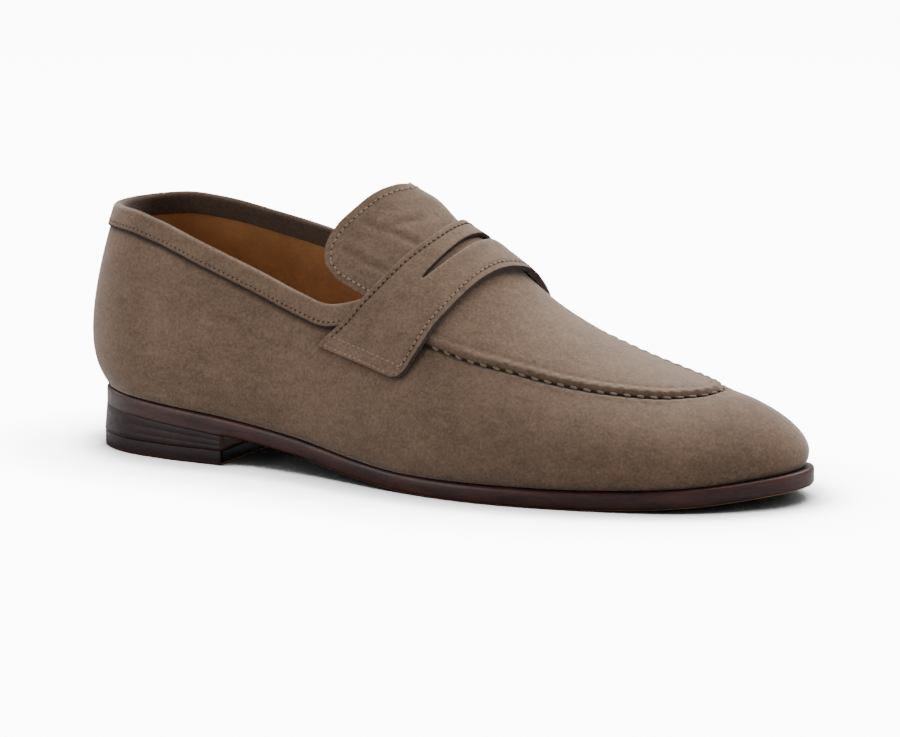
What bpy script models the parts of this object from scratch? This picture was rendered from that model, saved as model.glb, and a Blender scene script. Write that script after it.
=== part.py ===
"""A suede penny loafer for the right foot, as an assembly of the pieces that a shoemaker joins.

The toe points along +X, the wearer's left (the inner side of this foot) is +Y and the floor is z = 0.
The origin is on the floor under the middle of the shoe's box. Sizes below are millimetres.
"""

import math

import bmesh
import bpy
import numpy as np

MM = 0.001

# Driving dimensions
SOLE_LENGTH = 298.0
BALL_WIDTH = 100.0
HEEL_SEAT_HEIGHT = 24.5
INSTEP_HEIGHT = 92.0
COLLAR_HEIGHT = 97.5
SOLE_THICKNESS = 7.0
SOLE_EDGE_BEVEL = 0.7
HEEL_LENGTH = 67.0
TOP_LIFT_THICKNESS = 6.0
UPPER_WALL = 2.0
APRON_THICKNESS = 1.4
TONGUE_THICKNESS = 1.4
STRAP_THICKNESS = 2.0
BAND_THICKNESS = 1.0
BAND_WIDTH = 9.5
INSOLE_THICKNESS = 3.0
INSOLE_CLEARANCE = 0.8
HEEL_TOP_FLARE = 0.3
HEEL_FLOOR_FLARE = 1.0
TOP_LIFT_INSET = 0.2
SEAT_GAP = 0.3
APRON_SEAT_GAP = 0.4

# Plan of the sole: station along the length, half widths on the outer and inner side.
# Stations are shares of SOLE_LENGTH, widths shares of BALL_WIDTH.
SOLE_PLAN = [
    # station, outer, inner
    (0.013, 0.155, 0.155),
    (0.060, 0.270, 0.268),
    (0.134, 0.320, 0.318),
    (0.221, 0.330, 0.312),
    (0.310, 0.348, 0.282),
    (0.400, 0.388, 0.266),
    (0.485, 0.450, 0.293),
    (0.555, 0.484, 0.352),
    (0.615, 0.495, 0.412),
    (0.675, 0.482, 0.466),
    (0.740, 0.448, 0.498),
    (0.805, 0.398, 0.497),
    (0.866, 0.328, 0.452),
    (0.913, 0.236, 0.374),
    (0.950, 0.130, 0.284),
    (0.978, 0.030, 0.186),
]
TOE_TIP = (0.989, 0.085)

# Height of the sole's upper edge, as shares of HEEL_SEAT_HEIGHT. Under the ball the sole lies flat.
FLAT_SHARE = SOLE_THICKNESS / HEEL_SEAT_HEIGHT
SOLE_RISE = [
    # station, height
    (0.000, 1.000),
    (0.100, 0.905),
    (0.221, 0.770),
    (0.335, 0.595),
    (0.436, 0.385),
    (0.520, 0.300),
    (0.590, FLAT_SHARE),
    (0.720, FLAT_SHARE),
    (0.800, 0.310),
    (0.870, 0.365),
    (0.940, 0.465),
    (1.000, 0.600),
]

# Side of the upper: how far the sole stands out, and how far the wall swells above it, in millimetres.
WALL_SIDE = [
    # station, ledge, outer swell, inner swell, height of the swell above the sole
    (0.00, 1.2, 6.8, 6.8, 22.0),
    (0.05, 1.2, 5.2, 5.2, 22.0),
    (0.13, 1.2, 3.4, 3.4, 22.0),
    (0.30, 1.0, 3.0, 2.6, 20.0),
    (0.45, 1.0, 3.0, 3.0, 17.0),
    (0.62, 2.0, 2.6, 2.6, 12.0),
    (0.80, 2.8, 2.6, 2.4, 10.0),
    (0.92, 3.6, 2.4, 2.4, 8.0),
    (1.00, 4.2, 2.0, 2.0, 5.0),
]

# Where the wall bends between the sole and its swell, as shares of the swell and of its height.
TUCK_OUT = 0.70
TUCK_RISE = 0.28
SWELL_RISE = 0.45

# Ridge of the last: sideways place (share of BALL_WIDTH), height (share of INSTEP_HEIGHT) and fullness of
# the section at its side and at its top. Behind the strap it is the line that the open cone would reach.
RIDGE = [
    # station, sideways, height, side fullness, outer top fullness, inner top fullness
    (0.114, 0.000, 1.460, 0.32, 0.50, 0.50),
    (0.200, 0.000, 1.450, 0.39, 0.50, 0.50),
    (0.285, 0.012, 1.395, 0.39, 0.46, 0.48),
    (0.355, 0.030, 1.305, 0.36, 0.42, 0.48),
    (0.420, 0.048, 1.190, 0.34, 0.40, 0.56),
    (0.503, 0.058, 1.020, 0.36, 0.40, 0.54),
    (0.570, 0.065, 0.880, 0.40, 0.42, 0.52),
    (0.637, 0.072, 0.704, 0.44, 0.45, 0.62),
    (0.705, 0.075, 0.582, 0.46, 0.46, 0.68),
    (0.780, 0.075, 0.496, 0.48, 0.48, 0.68),
    (0.850, 0.075, 0.440, 0.50, 0.50, 0.60),
    (0.885, 0.075, 0.423, 0.50, 0.52, 0.52),
]

# Topline: height of the opening's edge on each side, as shares of COLLAR_HEIGHT.
TOPLINE = [
    # station, outer height, inner height
    (0.000, 1.000, 1.000),
    (0.060, 0.995, 1.010),
    (0.114, 0.965, 0.998),
    (0.200, 0.880, 0.950),
    (0.285, 0.790, 0.900),
    (0.340, 0.728, 0.858),
    (0.385, 0.692, 0.815),
    (0.420, 0.712, 0.783),
    (0.465, 0.790, 0.765),
    (0.505, 0.870, 0.840),
    (0.545, 0.940, 0.940),
]

# Apron: arc from the ridge down to its seam on each side, as shares of BALL_WIDTH.
APRON_EDGE = [
    # station, outer, inner
    (0.490, 0.575, 0.415),
    (0.576, 0.525, 0.340),
    (0.640, 0.438, 0.265),
    (0.705, 0.366, 0.208),
    (0.765, 0.296, 0.180),
    (0.825, 0.200, 0.158),
    (0.850, 0.134, 0.118),
    (0.862, 0.092, 0.085),
    (0.869, 0.045, 0.045),
    (0.872, 0.000, 0.000),
]
APRON_BACK = 0.566
APRON_BACK_SWEEP = 0.046

# Strap: places along its length, outer end to inner end, with the stations of its back and front edge
# there and the share of the strap's width at which the slot's middle runs.
STRAP_OUTLINE = [
    # arc, back edge, front edge, slot line
    (-0.770, 0.377, 0.503, 0.42),
    (-0.700, 0.394, 0.515, 0.42),
    (-0.600, 0.418, 0.529, 0.42),
    (-0.500, 0.438, 0.538, 0.42),
    (-0.400, 0.455, 0.549, 0.42),
    (-0.300, 0.470, 0.559, 0.42),
    (-0.200, 0.485, 0.568, 0.41),
    (-0.100, 0.496, 0.577, 0.39),
    (0.000, 0.502, 0.588, 0.38),
    (0.080, 0.503, 0.598, 0.39),
    (0.160, 0.502, 0.604, 0.40),
    (0.280, 0.493, 0.600, 0.42),
    (0.400, 0.468, 0.583, 0.42),
    (0.500, 0.436, 0.555, 0.42),
]
STRAP_BACK_CORNER = 2.0
STRAP_FRONT_CORNER = 6.0
STRAP_END_SLANT = 5.0
STRAP_FRONT_LIFT = 1.2
STRAP_FRONT_LIFT_REACH = 20.0

# How far beyond the tongue and apron the strap stays raised, and how long its fall to the wall is.
STRAP_OUTER_CLEAR = 1.5
STRAP_OUTER_FRONT_CLEAR = 6.0
STRAP_INNER_CLEAR = 5.0
STRAP_FALL = 12.0

SLOT_HALF_LENGTH = 34.0
SLOT_HALF_WIDTH = 1.8
SLOT_END_WIDTH = 0.3
SLOT_CENTRE = 0.0
SLOT_FADE = 4.0
SLOT_ROWS = (3, 4)
STRAP_END_CROWDING = 0.25

# Tongue: share of its half width, with the stations of its free tip and of its base under the strap.
TONGUE_OUTLINE = [
    # share, tip, base
    (0.00, 0.430, 0.560),
    (0.12, 0.422, 0.557),
    (0.25, 0.409, 0.551),
    (0.45, 0.391, 0.538),
    (0.65, 0.374, 0.520),
    (0.82, 0.367, 0.503),
    (0.93, 0.371, 0.490),
    (1.00, 0.390, 0.480),
]
TONGUE_OUTER_ARC = 52.0
TONGUE_INNER_ARC = 33.0

# Collar band: stations of its ends at the strap, along its lower and its upper edge.
OUTER_BAND_END = (0.392, 0.412)
INNER_BAND_END = (0.438, 0.456)

# Where the round heel and the round toe begin, as shares of SOLE_LENGTH, and of the walk around a side.
HEEL_CENTRE = 0.114
TOE_CENTRE = 0.885
HEEL_TURN = 0.15
TOE_TURN = 0.80

# Belt line between the lower and the higher rows of the upper: its row, and its share of a rib's length.
BELT_ROW = 7
BELT_SHARE = 0.40

# Fineness of the curves and of each piece's surface.
OUTLINE_STEPS = 12
LOW_RIB_STEPS = 12
HIGH_RIB_STEPS = 40
EDGE_BEVEL_STEPS = 2
EDGE_BEVEL_ANGLE = 50.0
WELD_DISTANCE = 0.001
GRIDS = {
    # piece: columns, rows
    "outsole": (40, 6),
    "heel_stack": (12, 6),
    "top_lift": (12, 6),
    "insole": (36, 4),
    "upper": (80, 13),
    "collar_band": (44, 2),
    "apron": (20, 14),
    "tongue": (8, 20),
    "saddle_strap": (8, 40),
}

COLOURS = {
    # piece: red, green, blue, roughness
    "outsole": (0.030, 0.017, 0.014, 0.45),
    "heel_stack": (0.035, 0.020, 0.016, 0.45),
    "top_lift": (0.250, 0.110, 0.040, 0.60),
    "insole": (0.330, 0.150, 0.060, 0.60),
    "upper": (0.150, 0.100, 0.070, 0.95),
    "collar_band": (0.135, 0.090, 0.062, 0.95),
    "apron": (0.155, 0.105, 0.072, 0.95),
    "tongue": (0.150, 0.100, 0.070, 0.95),
    "saddle_strap": (0.150, 0.100, 0.070, 0.95),
}


def smooth_curve(xs, ys):
    """A smooth curve through a table's points that never swings past them."""
    xs = np.array(xs, float)
    ys = np.array(ys, float)
    step = np.diff(xs)
    slope = np.diff(ys) / step
    tangent = np.zeros(len(xs))
    tangent[0] = slope[0]
    tangent[-1] = slope[-1]
    for k in range(1, len(xs) - 1):
        if slope[k - 1] * slope[k] > 0:
            before = 2 * step[k] + step[k - 1]
            after = step[k] + 2 * step[k - 1]
            tangent[k] = (before + after) / (before / slope[k - 1] + after / slope[k])

    def value(x):
        x = min(max(x, xs[0]), xs[-1])
        k = min(int(np.searchsorted(xs, x, side="right")) - 1, len(xs) - 2)
        t = (x - xs[k]) / step[k]
        rise = ys[k] * (1 + 2 * t) * (1 - t) ** 2 + ys[k + 1] * t * t * (3 - 2 * t)
        lean = step[k] * (tangent[k] * t * (1 - t) ** 2 - tangent[k + 1] * t * t * (1 - t))
        return rise + lean

    return value


def column_curves(table, share, *scales):
    """One smooth curve for each column of a table after the first, in millimetres along the shoe."""
    rows = np.array(table, float)
    rows = rows[np.argsort(rows[:, 0])]
    return [smooth_curve(rows[:, 0] * share, rows[:, k + 1] * scale) for k, scale in enumerate(scales)]


def closed_curve(points, steps):
    """A smooth closed curve through the points of an outline, as many short straight steps."""
    points = np.array(points, float)
    count = len(points)
    curve = []
    for k in range(count):
        before, start, end, after = (points[(k + j) % count] for j in (-1, 0, 1, 2))
        gaps = [math.sqrt(np.linalg.norm(b - a)) for a, b in ((before, start), (start, end), (end, after))]
        leave = (start - before) / gaps[0] - (end - before) / (gaps[0] + gaps[1]) + (end - start) / gaps[1]
        reach = (end - start) / gaps[1] - (after - start) / (gaps[1] + gaps[2]) + (after - end) / gaps[2]
        leave = leave * gaps[1]
        reach = reach * gaps[1]
        for j in range(steps):
            t = j / steps
            curve.append(start * (1 + 2 * t) * (1 - t) ** 2 + end * t * t * (3 - 2 * t)
                         + leave * t * (1 - t) ** 2 - reach * t * t * (1 - t))
    return np.array(curve)


def sole_outline():
    """The sole's plan as a closed curve, outer side first."""
    outer = [(x * SOLE_LENGTH, -w * BALL_WIDTH) for x, w, _ in SOLE_PLAN]
    inner = [(x * SOLE_LENGTH, w * BALL_WIDTH) for x, _, w in reversed(SOLE_PLAN)]
    tip = (TOE_TIP[0] * SOLE_LENGTH, TOE_TIP[1] * BALL_WIDTH)
    return closed_curve([(0.0, 0.0)] + outer + [tip] + inner, OUTLINE_STEPS)


OUTLINE = sole_outline()
(sole_top,) = column_curves(SOLE_RISE, SOLE_LENGTH, HEEL_SEAT_HEIGHT)
wall_ledge, outer_swell, inner_swell, swell_height = column_curves(WALL_SIDE, SOLE_LENGTH, 1, 1, 1, 1)
ridge_y, ridge_z, side_full, outer_full, inner_full = column_curves(
    RIDGE, SOLE_LENGTH, BALL_WIDTH, INSTEP_HEIGHT, 1, 1, 1)
outer_topline, inner_topline = column_curves(TOPLINE, SOLE_LENGTH, COLLAR_HEIGHT, COLLAR_HEIGHT)
outer_apron, inner_apron = column_curves(APRON_EDGE, SOLE_LENGTH, BALL_WIDTH, BALL_WIDTH)
strap_back, strap_front, strap_slot = column_curves(STRAP_OUTLINE, BALL_WIDTH, SOLE_LENGTH, SOLE_LENGTH, 1)
tongue_tip, tongue_base = column_curves(TONGUE_OUTLINE, 1, SOLE_LENGTH, SOLE_LENGTH)


def reach_outline(start, direction):
    """Distance from a point inside the sole's plan to its edge along a direction."""
    ends = np.roll(OUTLINE, -1, axis=0)
    along = ends - OUTLINE
    offset = OUTLINE - start
    cross = direction[0] * along[:, 1] - direction[1] * along[:, 0]
    cross = np.where(np.abs(cross) < 1e-9, 1e-9, cross)
    distance = (offset[:, 0] * along[:, 1] - offset[:, 1] * along[:, 0]) / cross
    place = (offset[:, 0] * direction[1] - offset[:, 1] * direction[0]) / cross
    hits = distance[(place >= -1e-6) & (place <= 1 + 1e-6) & (distance > 0)]
    return float(hits.min())


def bezier(a, b, c, d, steps):
    t = np.linspace(0, 1, steps)[:, None]
    a, b, c, d = (np.array(p, float) for p in (a, b, c, d))
    return a * (1 - t) ** 3 + 3 * b * t * (1 - t) ** 2 + 3 * c * t * t * (1 - t) + d * t ** 3


def rib(start, direction, outer):
    """One upright section of the last: points from the sole's edge to the ridge, and arcs from the ridge."""
    reach = reach_outline(start, direction)
    foot_x = start[0] + direction[0] * reach
    swell = outer_swell(foot_x) if outer else inner_swell(foot_x)
    top_full = outer_full(start[0]) if outer else inner_full(start[0])
    low_r = reach - wall_ledge(foot_x)
    low_z = sole_top(start[0] + direction[0] * low_r) + SEAT_GAP
    wide_r = low_r + swell
    rise = swell_height(foot_x)
    wide_z = low_z + rise
    top_z = ridge_z(start[0])
    climb = top_z - wide_z
    lean = (ridge_z(start[0]) - ridge_z(start[0] - 1.0)) * max(direction[0], 0.0)
    top_r = top_full * wide_r
    lower = bezier((low_r, low_z), (low_r + TUCK_OUT * swell, low_z + TUCK_RISE * rise),
                   (wide_r, wide_z - SWELL_RISE * rise), (wide_r, wide_z), LOW_RIB_STEPS)
    higher = bezier((wide_r, wide_z), (wide_r, wide_z + side_full(start[0]) * climb),
                    (top_r, top_z + lean * top_r), (0.0, top_z), HIGH_RIB_STEPS)
    flat = np.vstack([lower[:-1], higher])
    points = np.column_stack([start[0] + direction[0] * flat[:, 0], start[1] + direction[1] * flat[:, 0],
                              flat[:, 1]])
    steps = np.linalg.norm(np.diff(points, axis=0), axis=1)
    arcs = np.concatenate([[0.0], np.cumsum(steps)])
    return points, arcs, foot_x


def along_rib(points, arcs, arc):
    return np.array([np.interp(arc, arcs, points[:, k]) for k in range(3)])


def spine(walk, outer):
    """Start and direction of a rib, for a walk from 0 at the heel's back to 1 at the toe's tip."""
    side = -1.0 if outer else 1.0
    heel_x = HEEL_CENTRE * SOLE_LENGTH
    toe_x = TOE_CENTRE * SOLE_LENGTH
    if walk < HEEL_TURN:
        turn = math.pi / 2 * walk / HEEL_TURN
        return np.array([heel_x, ridge_y(heel_x)]), np.array([-math.cos(turn), side * math.sin(turn)])
    if walk <= TOE_TURN:
        x = heel_x + (toe_x - heel_x) * (walk - HEEL_TURN) / (TOE_TURN - HEEL_TURN)
        return np.array([x, ridge_y(x)]), np.array([0.0, side])
    turn = math.pi / 2 * (walk - TOE_TURN) / (1 - TOE_TURN)
    return np.array([toe_x, ridge_y(toe_x)]), np.array([math.sin(turn), side * math.cos(turn)])


def station_rib(x, outer):
    """The rib that crosses the ridge at x."""
    return rib(np.array([x, ridge_y(x)]), np.array([0.0, -1.0 if outer else 1.0]), outer)


def on_last(x, arc):
    """The point of the last an arc's length down from the ridge at x: outer side negative, inner positive."""
    points, arcs, _ = station_rib(x, arc < 0)
    return along_rib(points, arcs, arcs[-1] - abs(arc))


def wall_top(points, arcs, foot_x, start_x, outer):
    """Arc at which a rib is cut by the topline, or its whole length where the vamp is closed."""
    table_x = start_x if start_x > HEEL_CENTRE * SOLE_LENGTH else foot_x
    height = outer_topline(table_x) if outer else inner_topline(table_x)
    if height >= points[-1, 2]:
        return arcs[-1]
    return float(np.interp(height, points[:, 2], arcs))


def upper_point(across, up):
    """Outer face of the upper: across goes round from the heel's back by the outer side, up from the sole.

    The lower rows end at a belt line that runs evenly round the whole shoe, below the opening.
    """
    walk = 2 * across
    outer = walk <= 1
    start, direction = spine(walk if outer else 2 - walk, outer)
    points, arcs, foot_x = rib(start, direction, outer)
    top = wall_top(points, arcs, foot_x, start[0], outer)
    belt = BELT_SHARE * arcs[-1]
    belt_up = BELT_ROW / GRIDS["upper"][1]
    return along_rib(points, arcs, np.interp(up, (0.0, belt_up, 1.0), (0.0, belt, top)))


def walk_at(x):
    """The walk that reaches the rib at x, between the round heel and the round toe."""
    heel_x = HEEL_CENTRE * SOLE_LENGTH
    toe_x = TOE_CENTRE * SOLE_LENGTH
    return HEEL_TURN + (TOE_TURN - HEEL_TURN) * (x - heel_x) / (toe_x - heel_x)


def plan_point(walk, across, inset):
    """A point of the sole's plan between its outer edge (across 0) and its inner edge (across 1)."""
    edges = []
    for outer in (True, False):
        start, direction = spine(walk, outer)
        edges.append(start + direction * (reach_outline(start, direction) - inset))
    return edges[0] + (edges[1] - edges[0]) * across


def smooth_step(t):
    t = min(max(t, 0.0), 1.0)
    return t * t * (3 - 2 * t)


def sole_point(along, across):
    x, y = plan_point(along, across, 0.0)
    return np.array([x, y, sole_top(x)])


def insole_point(along, across):
    edges = []
    for outer in (True, False):
        start, direction = spine(along, outer)
        points, _, _ = rib(start, direction, outer)
        edges.append(points[0, :2] - direction * (UPPER_WALL + INSOLE_CLEARANCE))
    x, y = edges[0] + (edges[1] - edges[0]) * across
    return np.array([x, y, sole_top(x) + SEAT_GAP])


def apron_point(along, across):
    side = 2 * across - 1
    back = (APRON_BACK - APRON_BACK_SWEEP * side * side) * SOLE_LENGTH
    x = back + (APRON_EDGE[-1][0] * SOLE_LENGTH - back) * math.sin(math.pi / 2 * along)
    return on_last(x, side * (outer_apron(x) if side < 0 else inner_apron(x)))


def tongue_point(along, across):
    side = 2 * across - 1
    tip = tongue_tip(abs(side))
    x = tip + (tongue_base(abs(side)) - tip) * along
    return on_last(x, side * (TONGUE_OUTER_ARC if side < 0 else TONGUE_INNER_ARC))


def band_point(along, up):
    """The collar band, from its inner end round the heel to its outer end."""
    turn = 2 * along - 1
    outer = turn >= 0
    low, top = OUTER_BAND_END if outer else INNER_BAND_END
    walk = turn * walk_at((low + (top - low) * up) * SOLE_LENGTH)
    start, direction = spine(abs(walk), outer)
    points, arcs, foot_x = rib(start, direction, outer)
    top = wall_top(points, arcs, foot_x, start[0], outer)
    return along_rib(points, arcs, top - BAND_WIDTH * (1 - up))


def strap_arc(across):
    """Arc from the ridge, with places closer together near the strap's two ends."""
    first = STRAP_OUTLINE[0][0] * BALL_WIDTH
    last = STRAP_OUTLINE[-1][0] * BALL_WIDTH
    t = 2 * across - 1
    return (first + last) / 2 + (last - first) / 2 * (t + STRAP_END_CROWDING * (t - t ** 3))


def slot_half_width(arc):
    away = abs(arc - SLOT_CENTRE) / SLOT_HALF_LENGTH
    if away < 1:
        return max(SLOT_END_WIDTH, SLOT_HALF_WIDTH * math.sqrt(1 - away * away))
    return SLOT_END_WIDTH + SLOT_HALF_WIDTH * smooth_step(SLOT_FADE * (away - 1))


def corner_cut(end, radius):
    """How far a round corner stands back from the straight edge, at a distance from the strap's end."""
    short = max(0.0, radius - end)
    return radius - math.sqrt(radius * radius - short * short)


def strap_point(along, across):
    arc = strap_arc(across)
    end = min(arc - strap_arc(0), strap_arc(1) - arc)
    back = strap_back(arc) + corner_cut(end, STRAP_BACK_CORNER)
    front = strap_front(arc) - corner_cut(end, STRAP_FRONT_CORNER)
    half = slot_half_width(arc) / (front - back)
    rows = GRIDS["saddle_strap"][0]
    marks = (0.0, SLOT_ROWS[0] / rows, SLOT_ROWS[1] / rows, 1.0)
    places = (0.0, strap_slot(arc) - half, strap_slot(arc) + half, 1.0)
    x = back + (front - back) * float(np.interp(along, marks, places))
    slant = STRAP_END_SLANT * (along - 0.5) * smooth_step(arc / strap_arc(0))
    return on_last(x, arc + slant)


def strap_lift(along, across):
    """Height of the strap over the last: over the apron and tongue in the middle, on the wall at its ends."""
    arc = strap_arc(across)
    clear = TONGUE_INNER_ARC + STRAP_INNER_CLEAR
    if arc < 0:
        clear = TONGUE_OUTER_ARC + STRAP_OUTER_CLEAR + STRAP_OUTER_FRONT_CLEAR * along ** 3
    front = STRAP_FRONT_LIFT * along ** 2 * smooth_step(2 - abs(arc) / STRAP_FRONT_LIFT_REACH)
    over = APRON_THICKNESS + 2 * SEAT_GAP + front
    return SEAT_GAP + over * smooth_step((clear + STRAP_FALL - abs(arc)) / STRAP_FALL)


def in_slot(along, across):
    row = along * GRIDS["saddle_strap"][0]
    return SLOT_ROWS[0] < row < SLOT_ROWS[1] and abs(strap_arc(across) - SLOT_CENTRE) < SLOT_HALF_LENGTH


def sole_under(x):
    """Height of the sole's lower face."""
    slope = (sole_top(x + 1.0) - sole_top(x - 1.0)) / 2
    return sole_top(x) - SOLE_THICKNESS * math.hypot(1.0, slope)


def heel_point(along, across, level):
    flare = HEEL_TOP_FLARE if level else HEEL_FLOOR_FLARE
    x, y = plan_point(along * walk_at(HEEL_LENGTH), across, -flare)
    height = sole_under(x) - SEAT_GAP if level else TOP_LIFT_THICKNESS
    return np.array([x, y, height])


def top_lift_point(along, across, level):
    x, y = plan_point(along * walk_at(HEEL_LENGTH), across, TOP_LIFT_INSET - HEEL_FLOOR_FLARE)
    return np.array([x, y, (TOP_LIFT_THICKNESS - SEAT_GAP) * level])


def clear_scene():
    for item in list(bpy.data.objects):
        bpy.data.objects.remove(item, do_unlink=True)


def principled(name, red, green, blue, roughness):
    material = bpy.data.materials.new(name)
    material.use_nodes = True
    shader = material.node_tree.nodes["Principled BSDF"]
    shader.inputs["Base Color"].default_value = (red, green, blue, 1.0)
    shader.inputs["Roughness"].default_value = roughness
    return material


def add_object(name, bm, collection):
    mesh = bpy.data.meshes.new(name)
    bm.to_mesh(mesh)
    bm.free()
    mesh.shade_smooth()
    piece = bpy.data.objects.new(name, mesh)
    collection.objects.link(piece)
    piece.data.materials.append(principled(name, *COLOURS[name]))
    return piece


def sheet(name, place, collection, lift=None, hole=None):
    """An open surface: a flat grid whose points are moved to where a piece's own function puts them."""
    bm = bmesh.new()
    columns, rows = GRIDS[name]
    bmesh.ops.create_grid(bm, x_segments=columns, y_segments=rows, size=0.5)
    cells = {vert: (vert.co.x + 0.5, vert.co.y + 0.5) for vert in bm.verts}
    if hole:
        middles = {face: face.calc_center_median() for face in bm.faces}
        gone = [face for face, middle in middles.items() if hole(middle.x + 0.5, middle.y + 0.5)]
        bmesh.ops.delete(bm, geom=gone, context="FACES")
    for vert in bm.verts:
        vert.co = place(*cells[vert]) * MM
    bmesh.ops.remove_doubles(bm, verts=bm.verts, dist=WELD_DISTANCE * MM)
    bm.normal_update()
    if lift:
        moved = {vert: vert.co + vert.normal * lift(*cells[vert]) * MM for vert in bm.verts}
        for vert, place_now in moved.items():
            vert.co = place_now
    return add_object(name, bm, collection)


def block(name, place, collection):
    """A closed solid: a flat grid drawn up by one level, with its points moved by a function."""
    bm = bmesh.new()
    columns, rows = GRIDS[name]
    bmesh.ops.create_grid(bm, x_segments=columns, y_segments=rows, size=0.5)
    drawn = bmesh.ops.extrude_face_region(bm, geom=bm.faces[:], use_keep_orig=True)
    raised = [item for item in drawn["geom"] if isinstance(item, bmesh.types.BMVert)]
    bmesh.ops.translate(bm, verts=raised, vec=(0.0, 0.0, 1.0))
    for vert in bm.verts:
        vert.co = place(vert.co.x + 0.5, vert.co.y + 0.5, round(vert.co.z)) * MM
    bmesh.ops.remove_doubles(bm, verts=bm.verts, dist=WELD_DISTANCE * MM)
    bmesh.ops.recalc_face_normals(bm, faces=bm.faces)
    return add_object(name, bm, collection)


def thicken(piece, thickness, side):
    """Give an open surface its wall, outward for side 1 and inward for side -1."""
    solid = piece.modifiers.new("wall", "SOLIDIFY")
    solid.thickness = thickness * MM
    solid.offset = side
    solid.use_even_offset = True


def round_edges(piece, width):
    bevel = piece.modifiers.new("edge", "BEVEL")
    bevel.width = width * MM
    bevel.segments = EDGE_BEVEL_STEPS
    bevel.limit_method = "ANGLE"
    bevel.angle_limit = math.radians(EDGE_BEVEL_ANGLE)


def seat_gap(along, across):
    return SEAT_GAP


def apron_seat_gap(along, across):
    return APRON_SEAT_GAP


def build():
    clear_scene()
    shoe = bpy.data.collections.new("loafer")
    bpy.context.scene.collection.children.link(shoe)

    outsole = sheet("outsole", sole_point, shoe)
    thicken(outsole, SOLE_THICKNESS, -1)
    round_edges(outsole, SOLE_EDGE_BEVEL)
    block("heel_stack", heel_point, shoe)
    block("top_lift", top_lift_point, shoe)
    insole = sheet("insole", insole_point, shoe)
    thicken(insole, INSOLE_THICKNESS, 1)
    upper = sheet("upper", upper_point, shoe)
    thicken(upper, UPPER_WALL, -1)
    band = sheet("collar_band", band_point, shoe, seat_gap)
    thicken(band, BAND_THICKNESS, 1)
    apron = sheet("apron", apron_point, shoe, apron_seat_gap)
    thicken(apron, APRON_THICKNESS, 1)
    tongue = sheet("tongue", tongue_point, shoe, seat_gap)
    thicken(tongue, TONGUE_THICKNESS, 1)
    strap = sheet("saddle_strap", strap_point, shoe, strap_lift, in_slot)
    thicken(strap, STRAP_THICKNESS, 1)
    centre_on_origin(shoe)


def centre_on_origin(collection):
    """Carry every piece on one empty, so that the origin is under the middle of the shoe's box."""
    bpy.context.view_layer.update()
    graph = bpy.context.evaluated_depsgraph_get()
    corners = []
    for piece in collection.objects:
        corners.extend(piece.evaluated_get(graph).bound_box)
    corners = np.array(corners)
    middle = (corners.min(axis=0) + corners.max(axis=0)) / 2
    carrier = bpy.data.objects.new("carrier", None)
    for piece in list(collection.objects):
        piece.parent = carrier
    collection.objects.link(carrier)
    carrier.location = (-middle[0], -middle[1], 0.0)
    bpy.context.view_layer.update()


build()
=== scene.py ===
# %% [markdown]
# # A suede penny loafer, dressed piece by piece
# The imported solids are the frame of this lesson: they say where every piece of the shoe lies.
# Each cell takes one piece, rebuilds its surface finely on the same shoe last, and gives it the finish
# of suede, thread or burnished leather. All lengths in the tables are millimetres.

# %% Load the frame
import math

import bmesh
import bpy
import numpy as np
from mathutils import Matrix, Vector
from mathutils.kdtree import KDTree


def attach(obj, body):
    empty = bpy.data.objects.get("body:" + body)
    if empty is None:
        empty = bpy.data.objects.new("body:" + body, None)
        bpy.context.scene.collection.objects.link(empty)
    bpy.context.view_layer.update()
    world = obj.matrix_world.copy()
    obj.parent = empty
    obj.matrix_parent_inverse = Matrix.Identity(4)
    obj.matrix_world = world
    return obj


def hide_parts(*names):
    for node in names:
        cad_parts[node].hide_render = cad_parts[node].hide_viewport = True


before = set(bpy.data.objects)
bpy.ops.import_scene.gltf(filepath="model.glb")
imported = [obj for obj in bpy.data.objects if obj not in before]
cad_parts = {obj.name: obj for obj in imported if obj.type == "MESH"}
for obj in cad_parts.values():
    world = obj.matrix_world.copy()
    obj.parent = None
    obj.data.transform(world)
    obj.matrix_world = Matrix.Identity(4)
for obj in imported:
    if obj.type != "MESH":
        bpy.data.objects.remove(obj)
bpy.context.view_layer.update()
MM = 0.001
FRAME_SHIFT = np.array([-145.2211, -0.0658, 0.0])
print("frame loaded:", ", ".join(sorted(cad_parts)))

# %% [markdown]
# ## The last
# A shoemaker starts from the last, the wooden form of a foot. It could be sculpted by hand, but then no two
# pieces would quite fit. Here it is a few short tables: the plan of the sole, how its edge rises, how far
# the wall swells, and where the ridge over the instep runs. Smooth curves through the tables give every
# point of the shoe, so each piece can be as fine as it needs and still lies on its neighbours.

# %% Tables of the last
SOLE_LENGTH = 298.0
BALL_WIDTH = 100.0
HEEL_SEAT_HEIGHT = 24.5
INSTEP_HEIGHT = 92.0
COLLAR_HEIGHT = 97.5
SOLE_THICKNESS = 7.0
SEAT_GAP = 0.3
FLAT_SHARE = SOLE_THICKNESS / HEEL_SEAT_HEIGHT

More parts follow.
